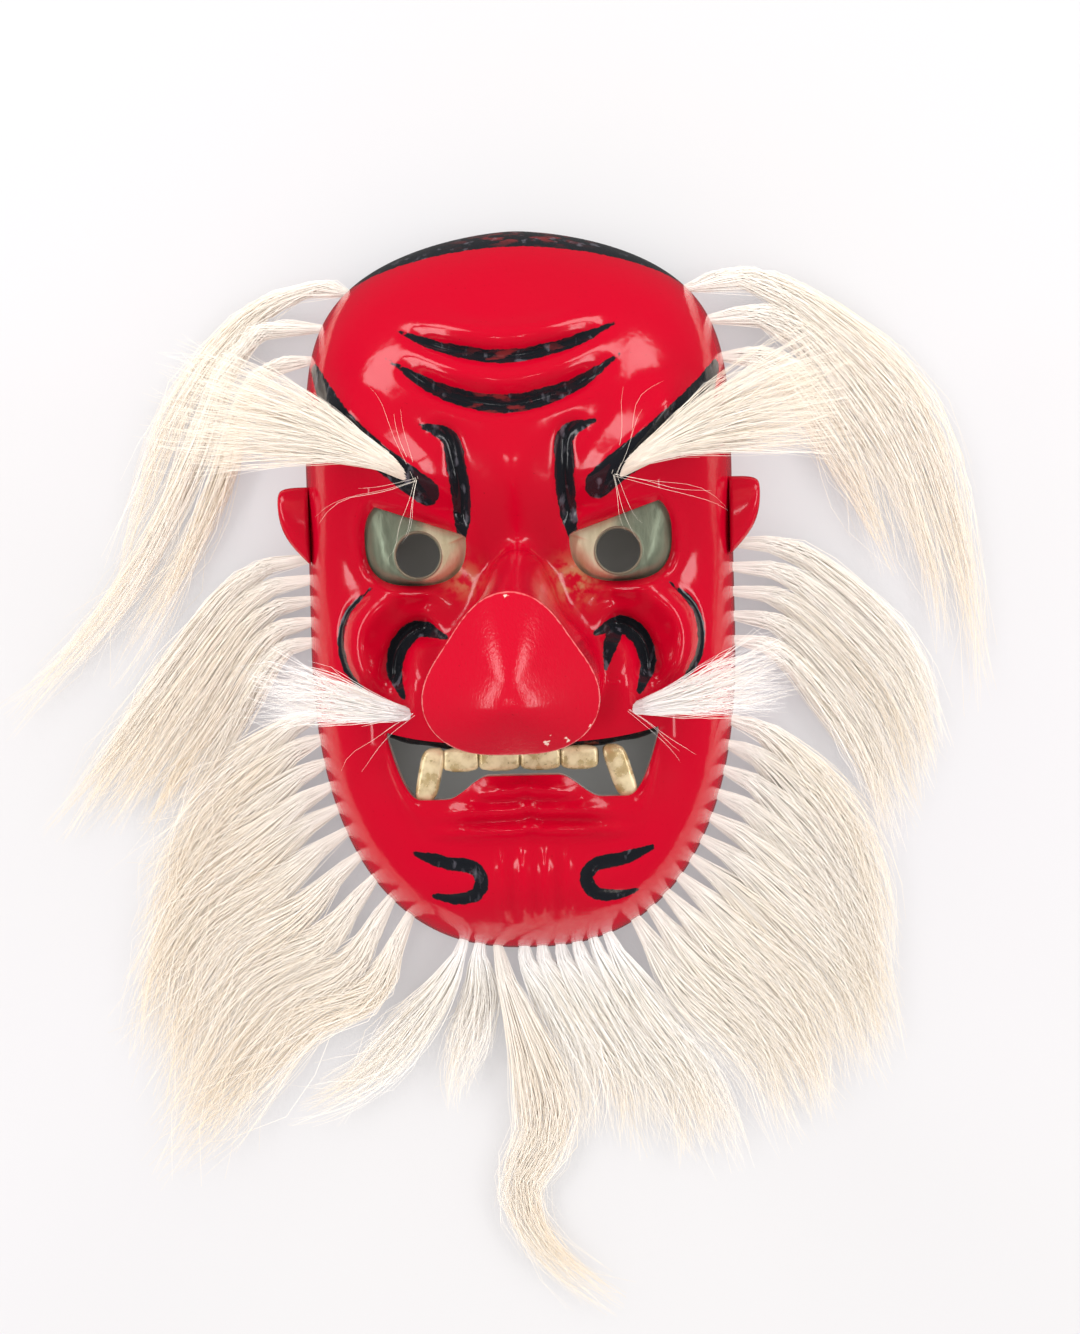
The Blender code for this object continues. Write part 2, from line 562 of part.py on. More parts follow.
# Key locks of each family round the side wall, in carving units: root, then the places it passes
LOCK_FAMILIES = {
    "temple_left": (3, [[(-57, 105), (-88, 97), (-113, 70), (-130, 32), (-142, 3)],
                        [(-67, 94), (-94, 86), (-112, 47), (-137, 2), (-181, -41)],
                        [(-71, 83), (-90, 72), (-103, 38), (-119, 6), (-141, -24)]]),
    "temple_right": (3, [[(59, 104), (90, 100), (133, 62), (149, 10), (156, -39)],
                         [(67, 93), (96, 86), (125, 48), (138, 8), (144, -24)],
                         [(72, 81), (92, 72), (113, 42), (122, 16), (126, 0)]]),
    "side_left": (5, [[(-70, 12), (-95, 6), (-122, -25), (-162, -80)],
                      [(-69, -16), (-86, -22), (-103, -47), (-124, -76)]]),
    "side_right": (5, [[(72, 15), (97, 9), (128, -22), (145, -62)],
                       [(72, -18), (90, -25), (112, -54), (126, -92)]]),
    "beard_left": (10, [[(-70, -40), (-90, -52), (-110, -72), (-132, -98)],
                        [(-64, -76), (-88, -92), (-118, -116), (-132, -162)],
                        [(-41, -109), (-54, -135), (-82, -147), (-123, -196)]]),
    "beard_right": (11, [[(70, -45), (88, -56), (110, -85), (122, -126)],
                         [(59, -85), (80, -101), (107, -133), (119, -166)],
                         [(36, -112), (52, -136), (76, -160), (88, -189)]]),
}
CHIN_LOCKS = [
    [(-23, -120), (-34, -139), (-55, -162), (-83, -178)],
    [(-17, -119), (-18, -139), (-24, -160), (-27, -175)],
    [(-11, -117), (-6, -139), (4, -181), (-6, -203), (4, -226), (31, -248)],
    [(-2, -114), (7, -140), (17, -163), (21, -189)],
    [(27, -119), (43, -146), (62, -172), (72, -197)],
]
CHIN_FAN = 6


def between(first, last, share):
    return np.asarray(first, float) * (1 - share) + np.asarray(last, float) * share


def wall_locks():
    """Every lock round the side wall by name. Locks between two key ones follow both in equal steps."""
    routes = {}
    for family, (count, keys) in LOCK_FAMILIES.items():
        for k in range(count):
            place = k / (count - 1) * (len(keys) - 1)
            at = min(int(place), len(keys) - 2)
            routes[f"{family}_{k + 1}"] = tuft_route(between(keys[at], keys[at + 1], place - at))
    for k, places in enumerate(CHIN_LOCKS[:3]):
        routes[f"chin_{k + 1}"] = tuft_route(places)
    for k in range(CHIN_FAN):
        places = between(CHIN_LOCKS[3], CHIN_LOCKS[4], k / (CHIN_FAN - 1))
        routes[f"chin_{k + 4}"] = tuft_route(places)
    return routes


def build_wall_locks(material):
    """Locks lie side by side: each is as wide as its neighbours leave room for, less a gap."""
    steps, kept = 24, [0, 2, 6, 11, 17, 24]
    share = np.array(kept) / steps
    routes = {name: resampled(route, steps + 1) for name, route in wall_locks().items()}
    for name, route in routes.items():
        others = np.vstack([other for key, other in routes.items() if key != name])
        picked = route[kept]
        apart = np.linalg.norm(picked[:, None, :2] - others[None, :, :2], axis=-1).min(axis=1)
        room = 0.42 * apart - PIECE_GAP
        full = TUFT_ROOT_DIAMETER / 2 + LOCK_HALF_WIDTH * smooth_step(0.0, 0.45, share) * (1 - 0.8 * share**2)
        wide = np.minimum(full, room)
        wide[0] = min(TUFT_ROOT_DIAMETER / 2, room[0])
        high = np.minimum(TUFT_HALF_HEIGHT * (0.35 + 0.65 * smooth_step(0.0, 0.3, share)), 1.5 * wide)
        high[0] = wide[0]
        high[-1] *= 0.4
        wide[-1] *= 0.4
        build_lock(name, picked, wide, high, material)


def build_face_lock(name, side, root, places, lift, widths, heights, material):
    """A fanned tuft that stands out from the face, from its hole and over the side wall."""
    height = face_height(np.array([root[0]], float), np.array([root[1]], float))[0] * UNIT_Z
    plan = np.array([root, *places], float) * [side * UNIT_X, UNIT_Y]
    level = height + PIECE_GAP + np.array(lift) * UNIT_Z
    route = np.column_stack([plan, level])
    build_lock(name, route, np.array(widths) * UNIT_Y, np.array(heights) * UNIT_Z, material)


def build_all():
    for old in list(bpy.data.objects):
        bpy.data.objects.remove(old, do_unlink=True)
    lacquer = finish_material("red_lacquer", (0.65, 0.01, 0.02), 0.25)
    brass = finish_material("eye_brass", (0.62, 0.58, 0.36), 0.3, 1.0)
    hair = finish_material("pale_hair", (0.85, 0.78, 0.65), 0.6)
    inner_surface = build_shell(lacquer)
    for side, name in ((1, "right"), (-1, "left")):
        build_eye_plate(f"eye_plate_{name}", side, inner_surface, brass)
        build_face_lock(
            f"eyebrow_{name}", side, (31, 33.5), [(38, 38), (58, 47), (82, 54), (101, 58)],
            (2.0, 4.5, 9.0, 10.0, 10.0), (2.5, 5.0, 13.0, 22.0, 17.0), (1.5, 2.5, 4.5, 4.0, 1.5), hair,
        )
        build_face_lock(
            f"moustache_{name}", side, (34, -40), [(40, -39), (54, -36), (70, -32), (83, -30)],
            (2.0, 3.5, 5.0, 5.0, 4.0), (1.8, 3.5, 8.0, 14.0, 11.0), (1.5, 2.0, 3.0, 3.0, 1.2), hair,
        )
    build_wall_locks(hair)


build_all()
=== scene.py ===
import bpy
import numpy as np
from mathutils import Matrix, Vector


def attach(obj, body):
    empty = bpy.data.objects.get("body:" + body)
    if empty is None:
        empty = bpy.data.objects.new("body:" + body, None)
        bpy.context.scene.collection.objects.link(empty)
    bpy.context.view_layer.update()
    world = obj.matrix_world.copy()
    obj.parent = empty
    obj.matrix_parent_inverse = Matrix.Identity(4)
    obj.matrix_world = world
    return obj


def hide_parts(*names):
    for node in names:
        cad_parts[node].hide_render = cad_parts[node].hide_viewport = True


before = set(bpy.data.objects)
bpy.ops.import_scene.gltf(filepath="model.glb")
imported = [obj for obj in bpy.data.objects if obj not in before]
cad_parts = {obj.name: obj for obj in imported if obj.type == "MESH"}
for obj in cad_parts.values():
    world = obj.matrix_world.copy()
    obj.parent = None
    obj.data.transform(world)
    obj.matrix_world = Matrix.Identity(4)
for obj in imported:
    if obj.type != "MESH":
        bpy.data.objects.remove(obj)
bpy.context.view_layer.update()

# Everything is laid out in millimetres about the middle of the face: X to the right, Y to the crown, Z
# along the nose. The meshes are moved so that the origin is at the chin's rim.
MM = 0.001
CHIN_RIM_Y = -119.25
WIDTH, CROWN, CHIN = 145.0, 123.0, -121.5
CROWN_START, CHIN_START = 10.0, -10.0
CROWN_SHAPE, CHIN_SHAPE = (6.1, 0.62), (2.5, 0.41)
WALL, SIDE_HEIGHT = 4.5, 62.0
FORM_HEIGHT, CROWN_LIFT, CHIN_DROP = 44.0, 17.0, 4.0

NOSE_Y, NOSE_LENGTH = -31.0, 178.0
TIP_RADIUS, TIP_DOME, PEAK_BELOW = 21.6, 18.0, 4.5
TIP_SWINGS = {1: 0.075, 2: -0.037, 3: 0.100, 4: 0.022}
DOME_FLAT, DOME_POWER = 0.05, 0.64
FOOT_RADIUS, FOOT_RIDGE, FOOT_FLAT = 25.0, 18.5, 11.5
SHAFT_RUN = 118.0

# Rings of the shell's grid from the nose tip outwards, the places of those next to the tip's edge, and how
# strongly the others crowd towards the foot and the rim
SPOKES, DOME_RINGS, SHAFT_RINGS, FACE_RINGS = 328, 18, 30, 96
EDGE_STEPS = (0.3, 0.8, 1.6, 2.8, 4.2)
FIRST_FACE = DOME_RINGS + len(EDGE_STEPS) + SHAFT_RINGS
SHAFT_CROWDING, FACE_CROWDING = 1.5, 1.7

EYE_CENTRE, EYE_REACH, EYE_POWER = (33.0, 15.5), (16.5, 14.2), 2.6
EYE_LID_START, EYE_LID_SLOPE = (17.0, 16.8), 0.342
PUPIL, PUPIL_RADIUS = (32.0, 10.8), 7.0
MOUTH_HALF, MOUTH_TOP, MOUTH_LIP, MOUTH_LOW = 44.0, -50.0, -60.2, 7.3
ROOT_HEIGHT, LYING_HEIGHT = 12.0, 4.5

# A distance that is further than any mark, chip or edge reaches
FAR = 9.0


def smooth_step(start, end, value):
    """0 before start and 1 after end, with a level join at both."""
    share = np.clip((value - start) / (end - start), 0.0, 1.0)
    return share * share * (3.0 - 2.0 * share)


def bump(x, y, centre, reach):
    """A round hill of height 1: exp of minus the squared distance in shares of the reach."""
    return np.exp(-(((x - centre[0]) / reach[0]) ** 2) - ((y - centre[1]) / reach[1]) ** 2)


def smooth_curve(points, steps=8):
    """A Catmull-Rom curve through the points, each stretch a cubic whose slope follows its neighbours."""
    points = np.asarray(points, float)
    padded = np.vstack([2 * points[0] - points[1], points, 2 * points[-1] - points[-2]])
    t = np.linspace(0.0, 1.0, steps, endpoint=False)[None, :, None]
    a, b, c, d = (padded[i : len(points) - 1 + i, None, :] for i in range(4))
    spans = 0.5 * (
        2 * b + (c - a) * t + (2 * a - 5 * b + 4 * c - d) * t**2 + (3 * b - a - 3 * c + d) * t**3
    )
    return np.vstack([spans.reshape(-1, points.shape[1]), points[-1:]])


def near_curve(x, y, curve):
    """Distance from each place to a curve, and the share of the curve's length at its nearest point."""
    start, step = curve[:-1], np.diff(curve, axis=0)
    length = np.hypot(step[:, 0], step[:, 1])
    to_x, to_y = x[..., None] - start[:, 0], y[..., None] - start[:, 1]
    share = np.clip((to_x * step[:, 0] + to_y * step[:, 1]) / length**2, 0.0, 1.0)
    distance = np.hypot(to_x - share * step[:, 0], to_y - share * step[:, 1])
    nearest = distance.argmin(axis=-1)[..., None]
    travelled = np.concatenate([[0.0], np.cumsum(length)[:-1]]) + share * length
    pick = [np.take_along_axis(values, nearest, axis=-1)[..., 0] for values in (distance, travelled)]
    return pick[0], pick[1] / length.sum()


def ridge(x, y, points, reach, taper=0.2):
    """A rounded ridge of height 1 along a curve, exp of minus squared distance, fading out at both ends."""
    distance, along = near_curve(x, y, smooth_curve(points))
    ends = smooth_step(-0.02, taper, along) * smooth_step(1.02, 1.0 - taper, along)
    return np.exp(-((distance / reach) ** 2)) * ends


def half_width(y):
    """Half the rim's width at a height: full at the middle, closing to nothing at crown and chin."""
    crown = np.clip((y - CROWN_START) / (CROWN - CROWN_START), 0.0, 1.0)
    chin = np.clip((CHIN_START - y) / (CHIN_START - CHIN), 0.0, 1.0)
    above = (1 - crown ** CROWN_SHAPE[0]) ** CROWN_SHAPE[1]
    below = (1 - chin ** CHIN_SHAPE[0]) ** CHIN_SHAPE[1]
    return WIDTH / 2 * (above * below)


def rim_radius(angle):
    """Distance from the nose's axis to the rim in each direction, found by halving the range."""
    low, high = np.zeros_like(angle), np.full_like(angle, 240.0)
    for _ in range(36):
        middle = (low + high) / 2
        inside = np.abs(middle * np.cos(angle)) < half_width(NOSE_Y + middle * np.sin(angle))
        low, high = np.where(inside, middle, low), np.where(inside, high, middle)
    return low


def eye_distance(x, y):
    """Distance outside the eye opening: a rounded oval under a straight slanting upper lid."""
    across, up = x - EYE_CENTRE[0], y - EYE_CENTRE[1]
    powers = np.abs(across / EYE_REACH[0]) ** EYE_POWER + np.abs(up / EYE_REACH[1]) ** EYE_POWER
    oval = powers ** (1 / EYE_POWER)
    from_oval = np.hypot(across, up) * (1 - 1 / np.maximum(oval, 1e-6))
    above_lid = (y - EYE_LID_START[1]) - EYE_LID_SLOPE * (x - EYE_LID_START[0])
    return np.maximum(from_oval, above_lid / np.hypot(1.0, EYE_LID_SLOPE))


def mouth_top(x):
    """Upper edge of the mouth: level in the middle, rising to the corners with the cube of the distance."""
    return MOUTH_TOP + 4.5 * (x / MOUTH_HALF) ** 3


def mouth_bottom(x):
    """Lower edge of the mouth: the lip's raised middle, a low stretch under the fang, then up to the
    corner."""
    low = MOUTH_LIP - MOUTH_LOW * smooth_step(11.0, 25.0, x)
    return low + 22.0 * np.clip((x - 33.0) / 11.0, 0.0, 1.0) ** 2


def mouth_distance(x, y):
    """Distance outside the mouth opening, the greatest of the distances past its edges."""
    return np.maximum.reduce([y - mouth_top(x), mouth_bottom(x) - y, x - MOUTH_HALF])


# Middle lines of the carved ridges and grooves. Those of one side stand for both.
BROW_RIDGE = [(18, 25), (27, 32), (38, 42), (50, 54), (62, 66)]
FROWN_GROOVE = [(25, 50), (18.5, 47), (17, 38), (16.5, 28), (17.5, 17)]
UPPER_GROOVE = [(-34, 82), (-18, 75), (0, 71.6), (18, 75), (34, 82)]
LOWER_GROOVE = [(-35, 71), (-19, 61), (0, 56.5), (19, 61), (35, 71)]
CHEEK_ROLL = [(29, -4), (42, -3), (51, -12), (51, -24), (43, -36)]
CHEEK_GROOVE = [(47, 0), (55.5, -6), (58.5, -15), (56.5, -25), (50, -32)]
NOSTRIL_GROOVE = [(25.5, -14), (32.5, -12.5), (38.5, -17), (40.8, -25), (38.5, -32)]
CHIN_HOOK = [(38.5, -85), (29, -88), (20, -89.5), (16.8, -94.2), (19.5, -99), (26, -100.5), (33, -99.5)]
NOSE_CREASE = [(-12, 6.5), (0, 10.8), (12, 6.5)]

# Height on the face and half length of each fold under the lip, and the upright flutes of the chin
LIP_FOLDS = [(-64.5, 17.0), (-71.2, 31.0), (-77.6, 38.0)]
FOLD_HEIGHT, FOLD_REACH = 3.8, 2.0
FLUTE_HEIGHT, FLUTE_PITCH = 0.9, 7.2


def lean(y):
    """How far the carving's middle line stands to the left at a height: a little on the forehead, and the
    other way on the chin."""
    return 2.5 * smooth_step(10.0, 60.0, y) - 2.5 * smooth_step(-55.0, -85.0, y)


def face_relief(x, y):
    """The carved face above its plain form: a sum of hills, ridges along curves and grooves along curves.
    It reads the distance from the carving's middle line, so the two halves are alike."""
    x = x + lean(y)
    side = np.abs(x)
    relief = 5.0 * bump(x, y, (0, 70), (44, 26)) + 8.0 * ridge(side, y, BROW_RIDGE, 8.0, 0.3)
    relief += 8.5 * bump(x, y, (0, 24), (15, 15)) + 3.0 * bump(x, y, (0, 40), (14, 10))
    relief -= 2.8 * ridge(side, y, FROWN_GROOVE, 2.4)
    for groove, depth, reach, fold in ((UPPER_GROOVE, 3.4, 2.4, 7.5), (LOWER_GROOVE, 4.0, 3.0, 7.5)):
        relief -= depth * ridge(x, y, groove, reach)
        relief += 2.6 * ridge(x, y, [(px, py + fold) for px, py in groove], 4.0, 0.35)
    eye = eye_distance(side, y)
    relief -= 7.0 * bump(side, y, (34, 11), (21, 14))
    relief += 2.2 * np.exp(-(((eye - 2.5) / 2.4) ** 2))
    relief += 5.5 * ridge(side, y, CHEEK_ROLL, 5.5, 0.25) - 1.6 * ridge(side, y, CHEEK_GROOVE, 1.6)
    relief += 9.5 * bump(side, y, (30.5, -31), (9.5, 11)) - 6.0 * ridge(side, y, NOSTRIL_GROOVE, 3.2)
    mouth = mouth_distance(side, y)
    relief += 3.0 * bump(x, y, (0, -62), (46, 26)) + 2.4 * np.exp(-(((mouth - 4.0) / 5.5) ** 2))
    for fold_y, fold_half in LIP_FOLDS:
        curve = fold_y - 1.5 * (side / fold_half) ** 2 + 0.9 * np.exp(-((x / 2.5) ** 2))
        fold = FOLD_HEIGHT * np.exp(-(((y - curve) / FOLD_REACH) ** 2))
        relief += fold * smooth_step(fold_half, 0.45 * fold_half, side)
    relief += 7.0 * bump(x, y, (0, -97), (26, 13)) - 1.6 * ridge(side, y, CHIN_HOOK, 1.7)
    flutes = FLUTE_HEIGHT * np.cos(x * np.pi * 2 / FLUTE_PITCH + np.pi) * smooth_step(15, 10, side)
    return relief + flutes * smooth_step(-80, -92, y) * smooth_step(-112, -102, y)


def face_height(x, y):
    """Height of the outer face: a form that falls as a superellipse to the rim, with the relief on it."""
    angle = np.arctan2(y - NOSE_Y, x)
    share = np.clip(np.hypot(x, y - NOSE_Y) / rim_radius(angle), 0.0, 1.0)
    upward = np.maximum(np.sin(angle), 0.0)
    form = FORM_HEIGHT + CROWN_LIFT * smooth_step(-5, 60, y) - CHIN_DROP * smooth_step(-70, -118, y)
    fall = (1 - share ** (5.5 - 1.3 * upward**2)) ** 0.5
    return form * fall + face_relief(x, y) * smooth_step(1.0, 0.86, share)


def spoke_angles():
    """Directions of the spokes, spread so that they stand evenly along the rim."""
    angle = np.linspace(-np.pi / 2, np.pi * 3 / 2, 2881)
    radius = rim_radius(angle)
    rim = np.stack([radius * np.cos(angle), radius * np.sin(angle)], axis=1)
    travelled = np.concatenate([[0.0], np.cumsum(np.linalg.norm(np.diff(rim, axis=0), axis=1))])
    return np.interp(np.linspace(0.0, travelled[-1], SPOKES, endpoint=False), travelled, angle)


def nose_base_radius(angle):
    """The nose's foot on the face: broad at the sides, drawn out to a ridge at the top, flat underneath."""
    from_top = np.abs(np.arctan2(np.cos(angle), np.sin(angle)))
    ridge_part = FOOT_RIDGE * np.exp(-((from_top / np.radians(20)) ** 2))
    return FOOT_RADIUS + ridge_part - FOOT_FLAT * np.maximum(-np.sin(angle), 0.0) ** 1.5


def nose_tip_radius(angle):
    """The nose's rounded three-cornered end, one corner at the top: a sum of cosines of one to four
    turns."""
    from_top = angle - np.pi / 2
    return TIP_RADIUS * (1 + sum(size * np.cos(turns * from_top) for turns, size in TIP_SWINGS.items()))


def dome_shares():
    """Where the dome's rings stand between its peak and its edge: a sine, so they crowd towards the
    edge."""
    return np.sin(np.arange(1, DOME_RINGS + 1) / DOME_RINGS * np.pi / 2)


def crowded(count, power):
    """Even steps from 0 to 1, drawn together towards 1: one minus a power of the way back."""
    return 1 - (1 - np.arange(1, count + 1) / count) ** power


def round_over(grid, ring, wide, narrow, rounds):
    """Rounds a grid's bend at one ring. Each ring near it moves up to halfway to the middle of its
    neighbours, less with the distance in rings, and again in every round."""
    away = np.abs(np.arange(len(grid)) - ring)
    ease = 0.5 * smooth_step(wide, narrow, away)[1:-1, None, None]
    for _ in range(rounds):
        grid[1:-1] += ease * ((grid[:-2] + grid[2:]) / 2 - grid[1:-1])


def outer_surface(angle, along):
    """Outer skin as rings by spokes by X, Y, Z, for the spokes' directions, and its peak: the nose's dome,
    its shaft straight from the tip's edge to the foot, and the face's height above its plan, with the foot
    and the tip's edge rounded over."""
    middle = np.array([0.0, NOSE_Y, 0.0])
    edge_height = NOSE_LENGTH - TIP_DOME
    edge = middle + along * nose_tip_radius(angle)[:, None] + [0, 0, edge_height]
    foot = middle + along * nose_base_radius(angle)[:, None]
    foot[:, 2] = face_height(foot[:, 0], foot[:, 1])
    rim = middle + along * rim_radius(angle)[:, None]
    peak = np.array([0.0, NOSE_Y - PEAK_BELOW, NOSE_LENGTH])
    share = dome_shares()[:, None, None]
    dome = peak + (edge - peak) * share
    start, end = DOME_FLAT**DOME_POWER, (1 + DOME_FLAT) ** DOME_POWER
    rise = ((share[..., 0] ** 2 + DOME_FLAT) ** DOME_POWER - start) / (end - start)
    dome[..., 2] = edge_height + TIP_DOME * (1 - rise)
    steps = [step / SHAFT_RUN for step in EDGE_STEPS]
    shaft = edge + (foot - edge) * np.array([*steps, *crowded(SHAFT_RINGS, SHAFT_CROWDING)])[:, None, None]
    face = foot + (rim - foot) * crowded(FACE_RINGS, FACE_CROWDING)[:, None, None]
    face[..., 2] = face_height(face[..., 0], face[..., 1])
    outer = np.concatenate([dome, shaft, face])
    round_over(outer, FIRST_FACE - 1, 12, 5, 24)
    round_over(outer, DOME_RINGS - 1, 5, 2, 7)
    return outer, peak


def inner_surface(outer, along, peak):
    """Inner skin on the same grid, set in by the wall. Under the face it first takes the lowest height of
    its neighbours and then their average, in turn, so it follows the carving only roughly."""
    level = outer[FIRST_FACE:, :, 2].copy()
    share = np.linspace(0.0, 1.0, FACE_RINGS)[:, None]
    lower = smooth_step(0.75, 0.5, share)
    for step in range(16):
        ringed = np.pad(level, ((1, 1), (0, 0)), mode="edge")
        near = [ringed[:-2], ringed[2:], np.roll(level, 1, axis=1), np.roll(level, -1, axis=1)]
        aim = np.minimum.reduce([level, *near]) if step < 5 else sum(near) / 4
        level = level + lower * (aim - level)
    inner = outer.copy()
    inner[FIRST_FACE:, :, 2] = level
    inner[..., 2] -= WALL * np.minimum(1.0, inner[..., 2] / (3 * WALL))
    set_in = np.ones(len(outer))
    set_in[FIRST_FACE:] = np.maximum(np.exp(-share[:, 0] / 0.05), share[:, 0] ** 3)
    inner -= along * (WALL * set_in)[:, None, None]
    dome = slice(0, DOME_RINGS)
    inner[dome, :, :2] = peak[:2] + (outer[dome, :, :2] - peak[:2]) * (1 - WALL / TIP_RADIUS)
    return inner


def shell_grids():
    """Outer and inner skin and the peak of each, with the crease over the nose cut into the outer one."""
    angle = spoke_angles()
    along = np.stack([np.cos(angle), np.sin(angle), 0 * angle], axis=1)
    outer, peak = outer_surface(angle, along)
    inner = inner_surface(outer, along, peak)
    crease = 1.5 * ridge(outer[..., 0], outer[..., 1], NOSE_CREASE, 1.3, 0.3)
    outer[..., 2] -= crease * (outer[..., 2] < 100.0)
    return outer, peak, inner, peak - [0.0, 0.0, WALL]


def carve(outer, inner, distance):
    """Moves the grid points next to an opening's outline onto it: wherever a grid line crosses the outline,
    its nearer end steps down the slope of the distance, and its height follows the surface's own slope.
    Gives the distances, which are 0 there, and which points were moved."""
    plan = outer[..., :2]
    value = distance(np.abs(plan[..., 0]), plan[..., 1])
    marked = np.zeros(value.shape, bool)
    for other, near, far in (
        (np.roll(value, -1, axis=1), lambda a: a, lambda a: np.roll(a, 1, axis=1)),
        (np.vstack([value[1:], value[-1:]]), lambda a: a, lambda a: np.vstack([a[:1] & False, a[:-1]])),
    ):
        crossed = value * other < 0
        first = np.abs(value) <= np.abs(other)
        marked |= near(crossed & first) | far(crossed & ~first)
    moved = plan.copy()
    step = 0.02
    side = np.sign(plan[..., 0])
    for _ in range(4):
        x, y = np.abs(moved[..., 0]), moved[..., 1]
        here = distance(x, y)
        slope_x = (distance(x + step, y) - distance(x - step, y)) / (2 * step)
        slope_y = (distance(x, y + step) - distance(x, y - step)) / (2 * step)
        size = np.maximum(slope_x**2 + slope_y**2, 0.25)
        moved -= (marked * here / size)[..., None] * np.stack([slope_x * side, slope_y], axis=-1)
    shift = moved - plan
    for surface in (outer, inner):
        ring_step = np.gradient(surface, axis=0)
        spoke_step = (np.roll(surface, -1, axis=1) - np.roll(surface, 1, axis=1)) / 2
        area = ring_step[..., 0] * spoke_step[..., 1] - ring_step[..., 1] * spoke_step[..., 0]
        area = np.where(np.abs(area) < 1e-9, 1.0, area)
        a = (shift[..., 0] * spoke_step[..., 1] - shift[..., 1] * spoke_step[..., 0]) / area
        b = (ring_step[..., 0] * shift[..., 1] - ring_step[..., 1] * shift[..., 0]) / area
        rise = np.where(marked, a * ring_step[..., 2] + b * spoke_step[..., 2], 0.0)
        surface[..., :2] += shift
        surface[..., 2] += rise
    return np.where(marked, 0.0, value), marked


def grid_triangles(rings, spokes, marked):
    """Triangles between neighbouring rings. The diagonals lean one way on each half, but join two marked
    points where a cell has them at opposite corners."""
    ring, spoke = np.meshgrid(np.arange(rings - 1), np.arange(spokes), indexing="ij")
    beside = (spoke + 1) % spokes
    near, far = ring * spokes + spoke, (ring + 1) * spokes + spoke
    far_next, near_next = (ring + 1) * spokes + beside, ring * spokes + beside
    across = np.stack([near, far, near_next, near_next, far, far_next], axis=-1)
    along = np.stack([near, far, far_next, near, far_next, near_next], axis=-1)
    flags = marked.ravel()
    use_across = spoke < spokes // 2
    use_across = np.where(flags[near] & flags[far_next], False, use_across)
    use_across = np.where(flags[far] & flags[near_next], True, use_across)
    return np.where(use_across[..., None], across, along).reshape(-1, 3)


def mesh_piece(name, vertices, groups, material, points=None, sharp=None, smooth=True):
    """A mesh from an array of millimetre places and face arrays, with point attributes given by name."""
    mesh = bpy.data.meshes.new(name)
    placed = (np.asarray(vertices, float).reshape(-1, 3) - [0.0, CHIN_RIM_Y, 0.0]) * MM
    groups = [np.asarray(group, np.int32) for group in groups]
    sizes = np.concatenate([np.full(len(group), group.shape[1], np.int32) for group in groups])
    mesh.vertices.add(len(placed))
    mesh.vertices.foreach_set("co", placed.astype(np.float32).ravel())
    mesh.loops.add(int(sizes.sum()))
    mesh.loops.foreach_set("vertex_index", np.concatenate([group.ravel() for group in groups]))
    mesh.polygons.add(len(sizes))
    mesh.polygons.foreach_set("loop_start", np.concatenate([[0], np.cumsum(sizes)[:-1]]).astype(np.int32))
    mesh.polygons.foreach_set("use_smooth", np.full(len(sizes), smooth))
    mesh.update(calc_edges=True)
    for key, values in (points or {}).items():
        values = np.asarray(values, np.float32)
        kind = "FLOAT_COLOR" if values.shape[-1:] == (4,) and values.ndim > 1 else "FLOAT"
        layer = mesh.attributes.new(key, kind, "POINT")
        layer.data.foreach_set("color" if kind == "FLOAT_COLOR" else "value", values.ravel())
    if sharp is not None:
        ends = np.zeros(len(mesh.edges) * 2, np.int32)
        mesh.edges.foreach_get("vertices", ends)
        layer = mesh.attributes.new("sharp_edge", "BOOLEAN", "EDGE")
        layer.data.foreach_set("value", sharp[ends.reshape(-1, 2)].all(axis=1))
    mesh.materials.append(material)
    made = bpy.data.objects.new(name, mesh)
    bpy.context.scene.collection.objects.link(made)
    return made


